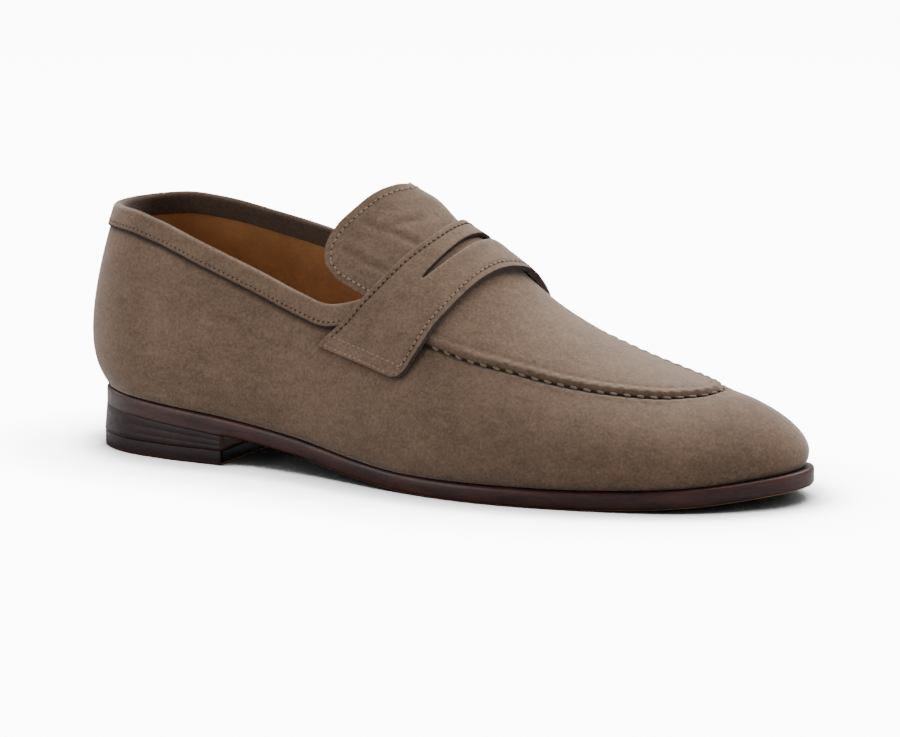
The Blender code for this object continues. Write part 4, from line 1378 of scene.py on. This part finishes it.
def slot_lip(arc, along, mark, size):
    """The curled lip along one side of the slot; size gives its height, its place from the mark, its width."""
    height, place, width = size
    return height * bump_at(np.abs(arc) / SLOT_HALF_LENGTH, LIP_REACH) * bump_at(along - (mark + place), width)


def saddle_strap():
    arc, along = strap_grid()
    x = strap_station(arc, along)
    back, front = strap_edges(arc)
    edge = np.minimum(x - back, front - x)
    end = np.minimum(arc - FIRST_ARC, LAST_ARC - arc)
    border = bump_at(end - END_SWELL_AWAY, END_SWELL_WIDTH)
    relief = slot_lip(arc, along, SLOT_MARKS[1], FRONT_LIP) + slot_lip(arc, along, SLOT_MARKS[0], BACK_LIP)
    relief -= FURROW_DEPTH * bump_at(edge - FURROW_AWAY, FURROW_WIDTH)
    relief += END_SWELL * border
    rim = np.minimum(edge, end)
    rounding = EDGE_ROUND + (INNER_EDGE_ROUND - EDGE_ROUND) * strap_tight(arc)
    short = 1 - np.clip(rim / rounding, 0, 1)
    relief -= rounding * (1 - np.sqrt(1 - short * short))
    sheet, normals = on_strap(arc, along, x, relief)
    inside = smooth_step((np.minimum(along, 1 - along) - UNDER_FROM) / UNDER_FROM)
    beyond = smooth_step((np.abs(arc) - strap_clear(arc, along)) / UNDER_FALL)
    packing = (strap_lift(arc, along) - SEAT_GAP) * inside * beyond
    under, _ = on_strap(arc, along, x, -STRAP_WALL - packing)
    sheet += STRAP_WAVE * waves(sheet, STRAP_WAVE_SIZE)[..., None] * normals
    # painted light along the rounded edges and on the swollen ends, painted shade in the furrow beside the
    # stitches
    tone = 1 + EDGE_LIGHT * bump_at(edge, EDGE_LIGHT_WIDTH)
    tone = tone - FURROW_SHADE * bump_at(edge - FURROW_AWAY, FURROW_SHADE_WIDTH) + END_LIGHT * border
    tone += INNER_EDGE_LIGHT * strap_tight(arc) * bump_at(edge, INNER_EDGE_LIGHT_WIDTH)
    # on the inner side the edge and the cut rim are lightened: painted light
    under_tone = tone * (1 + INNER_RIM_LIGHT * strap_tight(arc))
    faces = grid_faces(*arc.shape)
    rows, columns = np.divmod(np.arange(len(faces)), arc.shape[1] - 1)
    middle = 0.5 * (arc[0][columns] + arc[0][columns + 1])
    slot_rows = (rows >= SLOT_FIRST_STRIP) & (rows < SLOT_FIRST_STRIP + SLOT_STRIPS)
    in_slot = slot_rows & (np.abs(middle) < SLOT_HALF_LENGTH)
    faces, rims = close_sheet(faces[~in_slot], arc.size)
    brushed = (rim + RAW_EDGE * strap_tight(arc)).ravel()
    corner = np.concatenate([brushed, brushed])[faces].max(axis=1)
    finish = (np.arange(len(faces)) >= len(faces) - rims) | (corner < RAW_EDGE)
    return add_piece("strap_leather", [sheet, under], faces, [TRIM, CUT_EDGE], [tone, under_tone], FINE_WELD,
                     finish)


dress(saddle_strap(), "suede_trim", "saddle_strap")

# %% [markdown]
# ## Shade beside the edges
# Where one piece of suede lies on another, shade falls beside the edge on the piece below. The Ambient
# Occlusion node could find such places, but it would darken every fold alike. So the shade is painted: the
# strap and the collar band each get a narrow dark line of tone, on the upper and the apron just outside their
# edges.


# %% Paint shade on the upper beside strap and band
SIDE_SAMPLES = 600
END_SAMPLES = 160
BAND_SAMPLES = 1200


def strap_outline():
    """Points on the last all along the strap's outline."""
    arc = np.linspace(FIRST_ARC, LAST_ARC, SIDE_SAMPLES)
    share = np.linspace(0, 1, END_SAMPLES)
    sides = [(arc, edge) for edge in strap_edges(arc)]
    for end in (FIRST_ARC, LAST_ARC):
        back, front = strap_edges(np.array(end))
        sides.append((np.full(END_SAMPLES, end), back + (front - back) * share))
    arc, x = (np.concatenate([side[k] for side in sides]) for k in (0, 1))
    return on_last(x, arc + strap_slant(arc, x))[0]


def shade_beside(piece, path, width, depth):
    """Lower the tone of a piece's points that lie near a path: painted shade."""
    tree = KDTree(len(path))
    for number, spot in enumerate((path + FRAME_SHIFT) * MM):
        tree.insert(spot, number)
    tree.balance()
    tones = piece.data.attributes["tone"].data
    for vertex in piece.data.vertices:
        away = tree.find(vertex.co)[2] / MM
        tones[vertex.index].value *= 1 - depth * math.exp(-(away / width) ** 2)


upper_piece = bpy.data.objects["upper_shell"]
band_edge = band_row(np.linspace(-1, 1, BAND_SAMPLES), 0.0, BAND_WIDTH, 0.0)[0]
shade_beside(upper_piece, strap_outline(), width=1.5, depth=0.55)
shade_beside(upper_piece, band_edge, width=1.2, depth=0.9)
shade_beside(bpy.data.objects["apron_panel"], strap_outline(), width=1.8, depth=0.4)
print("shade beside strap and collar band")

# %% [markdown]
# ## Stitches
# All visible threads are small rounded rods, sunk a little into the leather. An Array modifier on a curve
# would repeat them too, but it stretches the last one; here each is placed by its arc along the row. Round
# the apron they are stout, lie along the groove a little aslant, and dip into a slit between. On tongue,
# strap and collar a machine makes a stitch, then a needle hole, so each row is threads with holes between
# them. The shade in slits and holes is painted: near-black rods lie there on the leather.


# %% Stitch helpers
STITCH_TURNS = 8
STITCH_RINGS = 6
STITCH_BLUNT = 0.7
STITCH_WELD = 0.01
WAY_STEP = 0.2


def rods(name, places, ways, stands, size, material):
    """Rounded rods in one mesh: each lies at a place, runs along a way and stands off its surface."""
    length, width, height = size
    ways = ways / np.linalg.norm(ways, axis=1, keepdims=True)
    sides = np.cross(stands, ways)
    sides /= np.linalg.norm(sides, axis=1, keepdims=True)
    polar = np.linspace(0, math.pi, STITCH_RINGS)
    turn = np.arange(STITCH_TURNS) * 2 * math.pi / STITCH_TURNS
    run = np.repeat(-np.cos(polar), STITCH_TURNS)
    rim = np.repeat(np.sin(polar) ** STITCH_BLUNT, STITCH_TURNS)
    across = rim * np.tile(np.cos(turn), STITCH_RINGS)
    rise = rim * np.tile(np.sin(turn), STITCH_RINGS)
    points = (places[:, None] + length / 2 * run[None, :, None] * ways[:, None]
              + width / 2 * across[None, :, None] * sides[:, None]
              + height / 2 * rise[None, :, None] * stands[:, None])
    one = grid_faces(STITCH_RINGS, STITCH_TURNS, True)
    faces = (one[None] + (np.arange(len(places)) * len(run))[:, None, None]).reshape(-1, 4)
    return add_piece(name, points, faces, [material], None, STITCH_WELD)


def row_of(points, stands, pitch, shift=0.0):
    """Places, ways and stands at an even pitch along a path that lies on a surface."""
    arcs = np.concatenate([[0.0], np.cumsum(np.linalg.norm(np.diff(points, axis=0), axis=1))])
    wanted = np.arange(pitch * (0.5 + shift), arcs[-1] - pitch / 4, pitch)
    places = np.column_stack([np.interp(wanted, arcs, points[:, k]) for k in range(3)])
    ahead = np.column_stack([np.interp(wanted + WAY_STEP, arcs, points[:, k]) for k in range(3)])
    behind = np.column_stack([np.interp(wanted - WAY_STEP, arcs, points[:, k]) for k in range(3)])
    up = np.column_stack([np.interp(wanted, arcs, stands[:, k]) for k in range(3)])
    return places, ahead - behind, up / np.linalg.norm(up, axis=1, keepdims=True)


def sew(name, slot, rows, pitch, shift, size, material):
    """One piece of rods along one or more rows; a shift of a half puts them between the stitches."""
    placed = [row_of(points, stands, pitch, shift) for points, stands in rows]
    places, ways, stands = (np.concatenate([row[k] for row in placed]) for k in range(3))
    return dress(rods(name, places, ways, stands, size, material), slot)


BETWEEN = 0.5
print("a rod has", STITCH_RINGS * STITCH_TURNS, "points")

# %% Apron stitches
SEAM_THREAD = (3.1, 1.15, 1.0)
SEAM_HOLE = (2.0, 1.0, 0.8)
SEAM_THREAD_OUT = 0.18
SEAM_HOLE_OUT = 0.12
SEAM_ASLANT = 0.22
SEAM_BARE = 1.0


def seam_row(shift):
    """Places along the groove that keep step with the puckers, from strap to strap round the toe."""
    _, normals = on_last(SEAM[:, 3], SEAM[:, 4])
    hidden = strap_edges(SEAM[:, 4])[1] > SEAM[:, 3] - SEAM_BARE
    keep = np.where(~hidden)[0]
    first = math.floor(SEAM_ARCS[keep[0]] / SEAM_PITCH) * SEAM_PITCH
    keep = np.arange(np.searchsorted(SEAM_ARCS, first - SLACK), keep[-1] + 1)
    places, along, up = row_of(SEAM[keep, :3], normals[keep], SEAM_PITCH, shift)
    return places, along - SEAM_ASLANT * np.cross(up, along), up


def seam_rods(name, shift, out, size, material):
    """Rods that lie along the groove, a little aslant, as in a hand-sewn seam."""
    places, along, up = seam_row(shift)
    return rods(name, places + out * up, along, up, size, material)


dress(seam_rods("apron_thread", 0.0, SEAM_THREAD_OUT, SEAM_THREAD, APRON_THREAD), "suede")
dress(seam_rods("apron_holes", BETWEEN, SEAM_HOLE_OUT, SEAM_HOLE, HOLE_SHADE), "suede")


# %% Tongue stitches
TONGUE_STITCH_INSET = 2.6
TONGUE_STITCH_PITCH = 2.5
TONGUE_THREAD = (1.9, 0.75, 0.7)
TONGUE_HOLE = (0.75, 0.6, 0.25)
TONGUE_EDGE_SAMPLES = 400
TONGUE_SIDE_SAMPLES = 60
STITCH_UNDER_STRAP = 1.0


def tongue_row():
    """The tab's edge on the map, moved in by the inset and laid on the tab's face."""
    side = crowd(TONGUE_EDGE_SAMPLES, TONGUE_CROWDING)
    outline = np.column_stack(tongue_place(np.zeros_like(side), side))
    down = np.linspace(1, 0, TONGUE_SIDE_SAMPLES)[:-1]
    outer = np.column_stack(tongue_place(down, -np.ones_like(down)))
    inner = np.column_stack(tongue_place(down[::-1], np.ones_like(down)))
    outline = np.concatenate([outer, outline, inner])
    way = np.gradient(outline, axis=0)
    way /= np.linalg.norm(way, axis=1, keepdims=True)
    inset = outline + TONGUE_STITCH_INSET * np.column_stack([way[:, 1], -way[:, 0]])
    x, arc = inset[:, 0], inset[:, 1]
    side = np.clip(arc / np.where(arc < 0, TONGUE_OUTER_ARC, TONGUE_INNER_ARC), -1, 1)
    tip = tongue_edge(side)
    along = np.clip((x - tip) / (tongue_root(side) - tip), 0, 1)
    base, normals = on_last(x, arc)
    points = base + normals * tongue_height(x, arc, along, side)[:, None]
    seen = x < strap_edges(np.clip(arc, FIRST_ARC, LAST_ARC))[0] + STITCH_UNDER_STRAP
    return points[seen], normals[seen]


TONGUE_ROW = tongue_row()
sew("tongue_thread", "suede", [TONGUE_ROW], TONGUE_STITCH_PITCH, 0.0, TONGUE_THREAD, THREAD)
sew("tongue_holes", "suede", [TONGUE_ROW], TONGUE_STITCH_PITCH, BETWEEN, TONGUE_HOLE, HOLE_SHADE)

# %% Strap stitches
STRAP_STITCH_PITCH = 2.4
STRAP_BACK_INSET = 2.2
STRAP_FRONT_INSET = 2.5
STRAP_END_ROWS = (1.6, 6.2)
STRAP_STITCH_SINK = -0.12
STRAP_SIDE_SAMPLES = 700
STRAP_THREAD = (1.9, 0.75, 0.75)
STRAP_HOLE = (0.8, 0.65, 0.35)
STRAP_BACK_THREAD = (1.3, 0.75, 0.7)
STRAP_BACK_HOLE = (1.25, 0.75, 0.45)


def strap_row(arc, x):
    """Points and stands along a row on the strap's face."""
    return on_strap(arc, strap_along(arc, x), x, STRAP_STITCH_SINK + 0 * arc)


def strap_rows():
    """The row along the back edge, and the rows along the front edge and across both ends."""
    arc = np.linspace(FIRST_ARC + STRAP_END_ROWS[0], LAST_ARC - STRAP_END_ROWS[0], STRAP_SIDE_SAMPLES)
    back, front = strap_edges(arc)
    behind = [strap_row(arc, back + STRAP_BACK_INSET)]
    ahead = [strap_row(arc, front - STRAP_FRONT_INSET)]
    share = np.linspace(0, 1, END_SAMPLES)
    ends = [FIRST_ARC + depth for depth in STRAP_END_ROWS] + [LAST_ARC - depth for depth in STRAP_END_ROWS]
    for end in ends:
        back, front = strap_edges(np.array(end))
        x = back + STRAP_BACK_INSET + (front - STRAP_FRONT_INSET - back - STRAP_BACK_INSET) * share
        ahead.append(strap_row(np.full(len(x), end), x))
    return behind, ahead


BACK_ROW, FRONT_AND_ENDS = strap_rows()
sew("strap_thread", "suede_trim", FRONT_AND_ENDS, STRAP_STITCH_PITCH, 0.0, STRAP_THREAD, THREAD)
sew("strap_back_thread", "suede_trim", BACK_ROW, STRAP_STITCH_PITCH, 0.0, STRAP_BACK_THREAD, TRIM)
sew("strap_holes", "suede_trim", FRONT_AND_ENDS, STRAP_STITCH_PITCH, BETWEEN, STRAP_HOLE, HOLE_SHADE)
sew("strap_back_holes", "suede_trim", BACK_ROW, STRAP_STITCH_PITCH, BETWEEN, STRAP_BACK_HOLE, HOLE_SHADE)

# %% [markdown]
# ## Seam of the inner quarter
# On the inner side, vamp and quarter meet in a plain closed seam that runs down from the strap's end. It is
# only a fine dark line. A groove in the mesh would ask for much finer rows there, so a row of thin flat rods
# that overlap lies on the suede instead.

# %% Seam of the inner quarter
QUARTER_SEAM = [
    # station, arc
    (0.486, 49.0), (0.480, 62.0), (0.470, 76.0), (0.458, 90.0), (0.448, 104.0),
]
QUARTER_PITCH = 1.0
QUARTER_ROD = (1.5, 0.4, 0.3)
QUARTER_SAMPLES = 300


def quarter_row():
    """The line where quarter and vamp meet, below the strap's inner end."""
    table = np.array(QUARTER_SEAM)
    station = smooth_curve(table[:, 1], table[:, 0] * SOLE_LENGTH)
    arc = np.linspace(table[0, 1], table[-1, 1], QUARTER_SAMPLES)
    return on_last(station(arc), arc)


sew("quarter_seam", "suede", [quarter_row()], QUARTER_PITCH, 0.0, QUARTER_ROD, CUT_EDGE)

# %% [markdown]
# ## Collar stitches
# The row on the collar band is finer than the others and in the colour of the band, so the needle holes show
# more than the thread. It could be left to a bump, but then it would vanish where the light comes flat. The
# row keeps one height above the band's raw edge all the way round.

# %% Collar stitches
BAND_STITCH_PITCH = 2.2
BAND_STITCH_RISE = 2.2
BAND_THREAD = (1.5, 0.6, 0.5)
BAND_HOLE = (0.75, 0.6, 0.3)
BAND_ROW_END = 0.99
BAND_ROW_SAMPLES = 900


def band_stitch_row():
    turn = np.linspace(-BAND_ROW_END, BAND_ROW_END, BAND_ROW_SAMPLES)
    depth = BAND_WIDTH - BAND_STITCH_RISE
    return band_row(turn, 1 - depth / BAND_WIDTH, depth, BAND_OUT)[:2]


BAND_ROW = band_stitch_row()
sew("collar_thread", "suede_trim", [BAND_ROW], BAND_STITCH_PITCH, 0.0, BAND_THREAD, TRIM)
sew("collar_holes", "suede_trim", [BAND_ROW], BAND_STITCH_PITCH, BETWEEN, BAND_HOLE, HOLE_SHADE)

# %% [markdown]
# ## The sole
# A leather sole has a burnished edge, dark and slightly waxy, and a natural tan underside that shows as a
# thin line where edge and floor meet. A flat shape with Solidify and Bevel would do for a level sole, but
# this one rises at toe and waist. So the edge is swept round the plan of the sole: each step of the profile
# is an inset from the outline and a share of the way from the upper to the lower face.

# %% Outsole
SOLE_PROFILE = [
    # inset, share down, drop, material, tone; tone is painted shade on the ledge under the upper and on the
    # lower bevel, painted highlight on the two rounded corners
    (9.0, 0.0, 0.0, 0, 0.5), (3.5, 0.0, 0.0, 0, 0.5), (1.3, 0.0, 0.05, 0, 0.6), (0.55, 0.0, 0.30, 0, 0.9),
    (0.18, 0.0, 0.85, 0, 1.25), (0.0, 0.0, 1.7, 0, 1.1), (0.05, 0.5, 0.0, 0, 0.95), (0.0, 1.0, -1.6, 0, 1.0),
    (0.12, 1.0, -0.85, 0, 1.2), (0.30, 1.0, -0.50, 0, 0.8), (0.75, 1.0, -0.12, 1, 0.8),
    (1.6, 1.0, 0.0, 1, 1.0), (9.0, 1.0, 0.0, 1, 1.0),
]
SOLE_COLUMNS = (44, 150, 40, 56)
WAIST_SHADE_SPAN = (105.0, 165.0)
WAIST_SHADE = 0.9
HEEL_LENGTH = 67.0
LOWER_EDGE = 2
EDGE_BEFORE_HEEL = 2.0
EDGE_FADE = 8.0


def sole_under(x):
    """Height of the sole's lower face, a full thickness below the upper one, square to its slope."""
    slope = (sole_top(x + 1.0) - sole_top(x - 1.0)) / 2
    return sole_top(x) - SOLE_THICKNESS * np.hypot(1.0, slope)


def plan_ring(walk, outer, inset):
    """The plan of the sole, moved in by the inset."""
    starts, ways = spine(walk, outer)
    return starts + ways * (reach_outline(starts, ways) - inset)[:, None]


def ladder(first, count):
    """Faces that close a ring from side to side; the ring goes out by one side and back by the other."""
    half = count // 2
    steps = np.arange(half)
    return np.column_stack([first + steps, first + steps + 1, first + (count - steps - 1) % count,
                            first + (count - steps) % count])


def outsole():
    walk, outer = round_walks(*SOLE_COLUMNS)
    before_heel = smooth_step((spine(walk, outer)[0][:, 0] - HEEL_LENGTH + EDGE_BEFORE_HEEL) / EDGE_FADE)
    rings, natural, tones = [], [], []
    for inset, share, drop, finish, tone in SOLE_PROFILE:
        plan = plan_ring(walk, outer, inset * np.where(share == 1 and inset < LOWER_EDGE, before_heel, 1.0))
        x = plan[:, 0]
        top, under = sole_top(x), sole_under(x)
        rings.append(np.column_stack([plan, top + (under - top) * share - drop]))
        # painted shade under the waist: behind the first station the tan underside takes the dark edge finish,
        # and from there to the second its tone rises back to full
        natural.append(finish * (x > WAIST_SHADE_SPAN[0]))
        waist = 1 - smooth_step((x - WAIST_SHADE_SPAN[0]) / (WAIST_SHADE_SPAN[1] - WAIST_SHADE_SPAN[0]))
        tones.append(tone * (1 - finish * waist * WAIST_SHADE))
    count = len(walk)
    caps = [ladder(0, count), ladder((len(rings) - 1) * count, count)]
    faces = np.concatenate([grid_faces(len(rings), count, True)] + caps)
    finish = np.concatenate(natural[1:] + [np.zeros(len(caps[0])), np.ones(len(caps[1]))])
    return add_piece("sole_leather", rings, faces, [SOLE_EDGE, NATURAL], tones, FINE_WELD, finish)


dress(outsole(), "sole_leather", "outsole")

# %% [markdown]
# ## The heel
# The heel is a stack of leather lifts, blackened and polished at the sides so that only faint lines show
# between them. Its front face is left brown. The lowest lift has a reddish line at the floor, and shows its
# natural colour in front. One box for each lift would leave gaps at the slanted top, so the stack is one
# column of rings that flares to the floor, with a shallow groove at each line.

# %% Rings and stacks
HEEL_EDGE_ROUND = 0.35
HEEL_EDGE_ANGLE = 60
HEEL_SIDE_POINTS = 64
HEEL_FRONT_POINTS = 24


def heel_ring(flare, side=HEEL_SIDE_POINTS, front=HEEL_FRONT_POINTS):
    """Outline of the heel: round by the outer side, across the front, and back by the inner side."""
    walk = np.linspace(0, walk_at(HEEL_LENGTH), side)
    outer = plan_ring(walk, np.ones(side, bool), -flare)
    inner = plan_ring(walk, np.zeros(side, bool), -flare)[::-1]
    share = np.linspace(0, 1, front + 1)[1:-1, None]
    across = outer[-1] + (inner[0] - outer[-1]) * share
    breast = np.zeros(2 * side + front - 2, bool)
    breast[side - 1:side + front - 1] = True
    return np.concatenate([outer, across, inner[:-1]]), breast


def stacked(name, levels, heights, materials, front_from=0):
    """A stack from rings: levels give each ring's flare, heights turn plan points into z.

    From the given ring down, the front face has the second material and the sides the last one."""
    rings = []
    for flare, height in zip(levels, heights):
        plan, breast = heel_ring(flare)
        rings.append(np.column_stack([plan, height(plan[:, 0])]))
    count = len(breast)
    faces = grid_faces(len(rings), count, True).tolist()
    faces += [list(range(count)), list(range((len(rings) - 1) * count, len(rings) * count))]
    side = len(materials) - 1 if front_from else 0
    finish = []
    for level in range(len(rings) - 1):
        finish += np.where(breast, 1, side).tolist() if level >= front_from else [0] * count
    finish += [0, 0]
    piece = add_piece(name, rings, faces, materials, None, FINE_WELD, finish)
    round_edges(piece, HEEL_EDGE_ROUND, 2, HEEL_EDGE_ANGLE)
    return piece


print("points round the heel:", len(heel_ring(0.0)[0]))

# %% Heel stack and top lift
HEEL_TOP_FLARE = 0.05
HEEL_FLOOR_FLARE = 1.0
TOP_LIFT_THICKNESS = 6.0
TOP_LIFT_INSET = 0.2
TREAD_LINE = 1.1
LIFT_LINES = (0.36, 0.70)
LIFT_GROOVE = 0.04
LIFT_GROOVE_EDGE = 0.03
LIFT_GROOVE_FLOOR = 0.01
HEEL_GAP = 0.05
TOP_LIFT_GAP = 0.1
BREAST = leather("heel breast", (0.085, 0.045, 0.025), (0.20, 0.115, 0.062), 3.0, 50.0, 0.3)


def heel_levels():
    """Shares from the heel's top to its foot, with a shallow groove at each line between lifts."""
    marks = [(0.0, 0.0)]
    for line in LIFT_LINES:
        marks += [(line - LIFT_GROOVE_EDGE, 0.0), (line - LIFT_GROOVE_FLOOR, LIFT_GROOVE),
                  (line + LIFT_GROOVE_FLOOR, LIFT_GROOVE), (line + LIFT_GROOVE_EDGE, 0.0)]
    return marks + [(1.0, 0.0)]


def heel_height(share):
    """The z of a ring of the stack, for a share of the way from the sole down to the top lift."""
    return lambda x: (sole_under(x) - HEEL_GAP) * (1 - share) + TOP_LIFT_THICKNESS * share


def heel_stack():
    marks = heel_levels()
    flares = [HEEL_TOP_FLARE + (HEEL_FLOOR_FLARE - HEEL_TOP_FLARE) * share - groove for share, groove in marks]
    return stacked("heel_lifts", flares, [heel_height(share) for share, _ in marks], [HEEL_EDGE, BREAST])


def top_lift():
    flare = HEEL_FLOOR_FLARE - TOP_LIFT_INSET
    levels = (TOP_LIFT_THICKNESS - TOP_LIFT_GAP, TREAD_LINE, 0.0)
    heights = [lambda x, level=level: 0 * x + level for level in levels]
    return stacked("floor_lift", [flare] * len(levels), heights, [HEEL_EDGE, NATURAL, TREAD_EDGE], 1)


dress(heel_stack(), "heel_leather", "heel_stack")
dress(top_lift(), "top_lift_leather", "top_lift")

# %% [markdown]
# ## The sock
# The sock is the smooth tan leather under the foot, seen through the opening. It lies on the sole inside
# the wall, a little lower in the middle than at the edges, as a foot leaves it. A plane cut to shape would
# need trimming; a grid from the foot of the outer ribs to the foot of the inner ones fits as it is.

# %% Sock
INSOLE_CLEARANCE = 2.2
SOCK_THICKNESS = 3.0
SOCK_DISH = 0.9
SOCK_LEATHER = SOCK_THICKNESS - 1.0
SOCK_EDGE_ROUND = 0.5
SOCK_ROWS = 110
SOCK_COLUMNS = 26
FAR_BELOW = (150.0, 0.0, -300.0)


def sock():
    walk = np.linspace(0, 1, SOCK_ROWS)
    across = np.linspace(0, 1, SOCK_COLUMNS)
    edges = []
    for outer in (True, False):
        side = np.full(len(walk), outer)
        starts, ways = spine(walk, side)
        points, _, _ = ribs(starts, ways, side)
        edges.append(points[:, 0, :2] - ways * INSOLE_CLEARANCE)
    plan = edges[0][:, None] + (edges[1] - edges[0])[:, None] * across[None, :, None]
    dish = SOCK_DISH * (2 * across - 1) ** 4
    height = sole_top(plan[..., 0]) + SEAT_GAP + SOCK_THICKNESS - SOCK_DISH + dish[None]
    sheet = np.concatenate([plan, height[..., None]], axis=2)
    piece = add_piece("sock_leather", sheet, grid_faces(*sheet.shape[:2]), [SOCK])
    outward(piece, FAR_BELOW)
    give_wall(piece, SOCK_LEATHER, True)
    round_edges(piece, SOCK_EDGE_ROUND, 2)
    return piece


dress(sock(), "sock_leather", "insole")

# %% [markdown]
# ## Floor and light
# The shoe stands on a plain pale floor. A photographer would light the paper until it goes white; here the
# floor glows a little for the camera alone, so that no light bounces back on the shoe. The Ambient Occlusion
# node paints shade into the glow and the floor's colour where sole and floor meet. One large soft light hangs
# above and a little behind, a weaker one fills from the front, and small ones stand at both ends.

# %% Floor
FLOOR_SIZE = 30.0
FLOOR_TONE = 0.66
FLOOR_GLOW = 10.0
CONTACT_REACH = (0.06, 0.02)
CONTACT_DEPTH = 2.3
FLOOR_ROUGHNESS = 0.75


def floor():
    material = bpy.data.materials.new("pale floor")
    material.use_nodes = True
    tree = material.node_tree
    shader = tree.nodes["Principled BSDF"]
    shader.inputs["Roughness"].default_value = FLOOR_ROUGHNESS
    wide, near = (place_node(tree, "ShaderNodeAmbientOcclusion", {"Distance": reach}, samples=4).outputs["AO"]
                  for reach in CONTACT_REACH)
    # painted shadow: the floor's colour and glow darken near the shoe
    painted_contact_shade = maths(tree, "POWER", maths(tree, "MULTIPLY", wide, near), CONTACT_DEPTH)
    tree.links.new(maths(tree, "MULTIPLY", painted_contact_shade, FLOOR_TONE), shader.inputs["Base Color"])
    tree.links.new(maths(tree, "MULTIPLY", painted_contact_shade, FLOOR_GLOW), shader.inputs["Emission Color"])
    seen = tree.nodes.new("ShaderNodeLightPath")
    tree.links.new(seen.outputs["Is Camera Ray"], shader.inputs["Emission Strength"])
    bm = bmesh.new()
    bmesh.ops.create_grid(bm, x_segments=1, y_segments=1, size=FLOOR_SIZE / 2)
    mesh = bpy.data.meshes.new("pale_floor")
    bm.to_mesh(mesh)
    bm.free()
    mesh.materials.append(material)
    plane = bpy.data.objects.new("pale_floor", mesh)
    bpy.context.scene.collection.objects.link(plane)
    print("floor:", FLOOR_SIZE, "m wide")


floor()

# %% Lights
SHOE_MIDDLE = (0.0, 0.0, 0.05)
WORLD_STRENGTH = 0.35


def aim(item, target):
    """Turn a light or the camera towards a point."""
    item.rotation_euler = (Vector(target) - item.location).to_track_quat("-Z", "Y").to_euler()


def soft_light(name, place, target, width, height, power):
    lamp = bpy.data.lights.new(name, "AREA")
    lamp.shape = "RECTANGLE"
    lamp.size = width
    lamp.size_y = height
    lamp.energy = power
    item = bpy.data.objects.new(name, lamp)
    item.location = place
    bpy.context.scene.collection.objects.link(item)
    aim(item, target)


soft_light("overhead", (0.15, 0.75, 1.35), SHOE_MIDDLE, 2.2, 1.4, 80.0)
soft_light("toe_side", (1.5, 0.3, 0.6), SHOE_MIDDLE, 0.6, 1.0, 4.0)
soft_light("heel_side", (-1.5, 0.2, 0.7), SHOE_MIDDLE, 0.6, 1.0, 5.5)
soft_light("front_fill", (-1.3, -1.45, 0.8), SHOE_MIDDLE, 1.6, 1.2, 26.0)
world = bpy.context.scene.world or bpy.data.worlds.new("studio")
bpy.context.scene.world = world
world.use_nodes = True
sky = world.node_tree.nodes["Background"]
sky.inputs["Color"].default_value = (1.0, 1.0, 1.0, 1.0)
sky.inputs["Strength"].default_value = WORLD_STRENGTH
print("lights:", len(bpy.data.lights))

# %% [markdown]
# ## Camera
# The camera stands low at the toe's outer side. It could be placed by eye in the viewport; an azimuth, an
# elevation and a distance are easier to correct one by one. The lens is long, so that the toe doesn't loom.

# %% Camera
VIEW_AZIMUTH = 26.6
VIEW_ELEVATION = 10.7
VIEW_DISTANCE = 1.4
VIEW_TARGET = (np.array([150.0, 0.0, 40.0]) + FRAME_SHIFT) * MM
LENS = 145.0
SENSOR_WIDTH = 36.0


def photo_camera():
    turn, tilt = math.radians(VIEW_AZIMUTH), math.radians(VIEW_ELEVATION)
    back = np.array([math.sin(turn) * math.cos(tilt), -math.cos(turn) * math.cos(tilt), math.sin(tilt)])
    lens = bpy.data.cameras.new("photo_camera")
    lens.lens = LENS
    lens.sensor_width = SENSOR_WIDTH
    item = bpy.data.objects.new("photo_camera", lens)
    item.location = VIEW_TARGET + VIEW_DISTANCE * back
    bpy.context.scene.collection.objects.link(item)
    aim(item, VIEW_TARGET)
    bpy.context.scene.camera = item
    print("camera at", [round(float(v), 3) for v in item.location])


photo_camera()
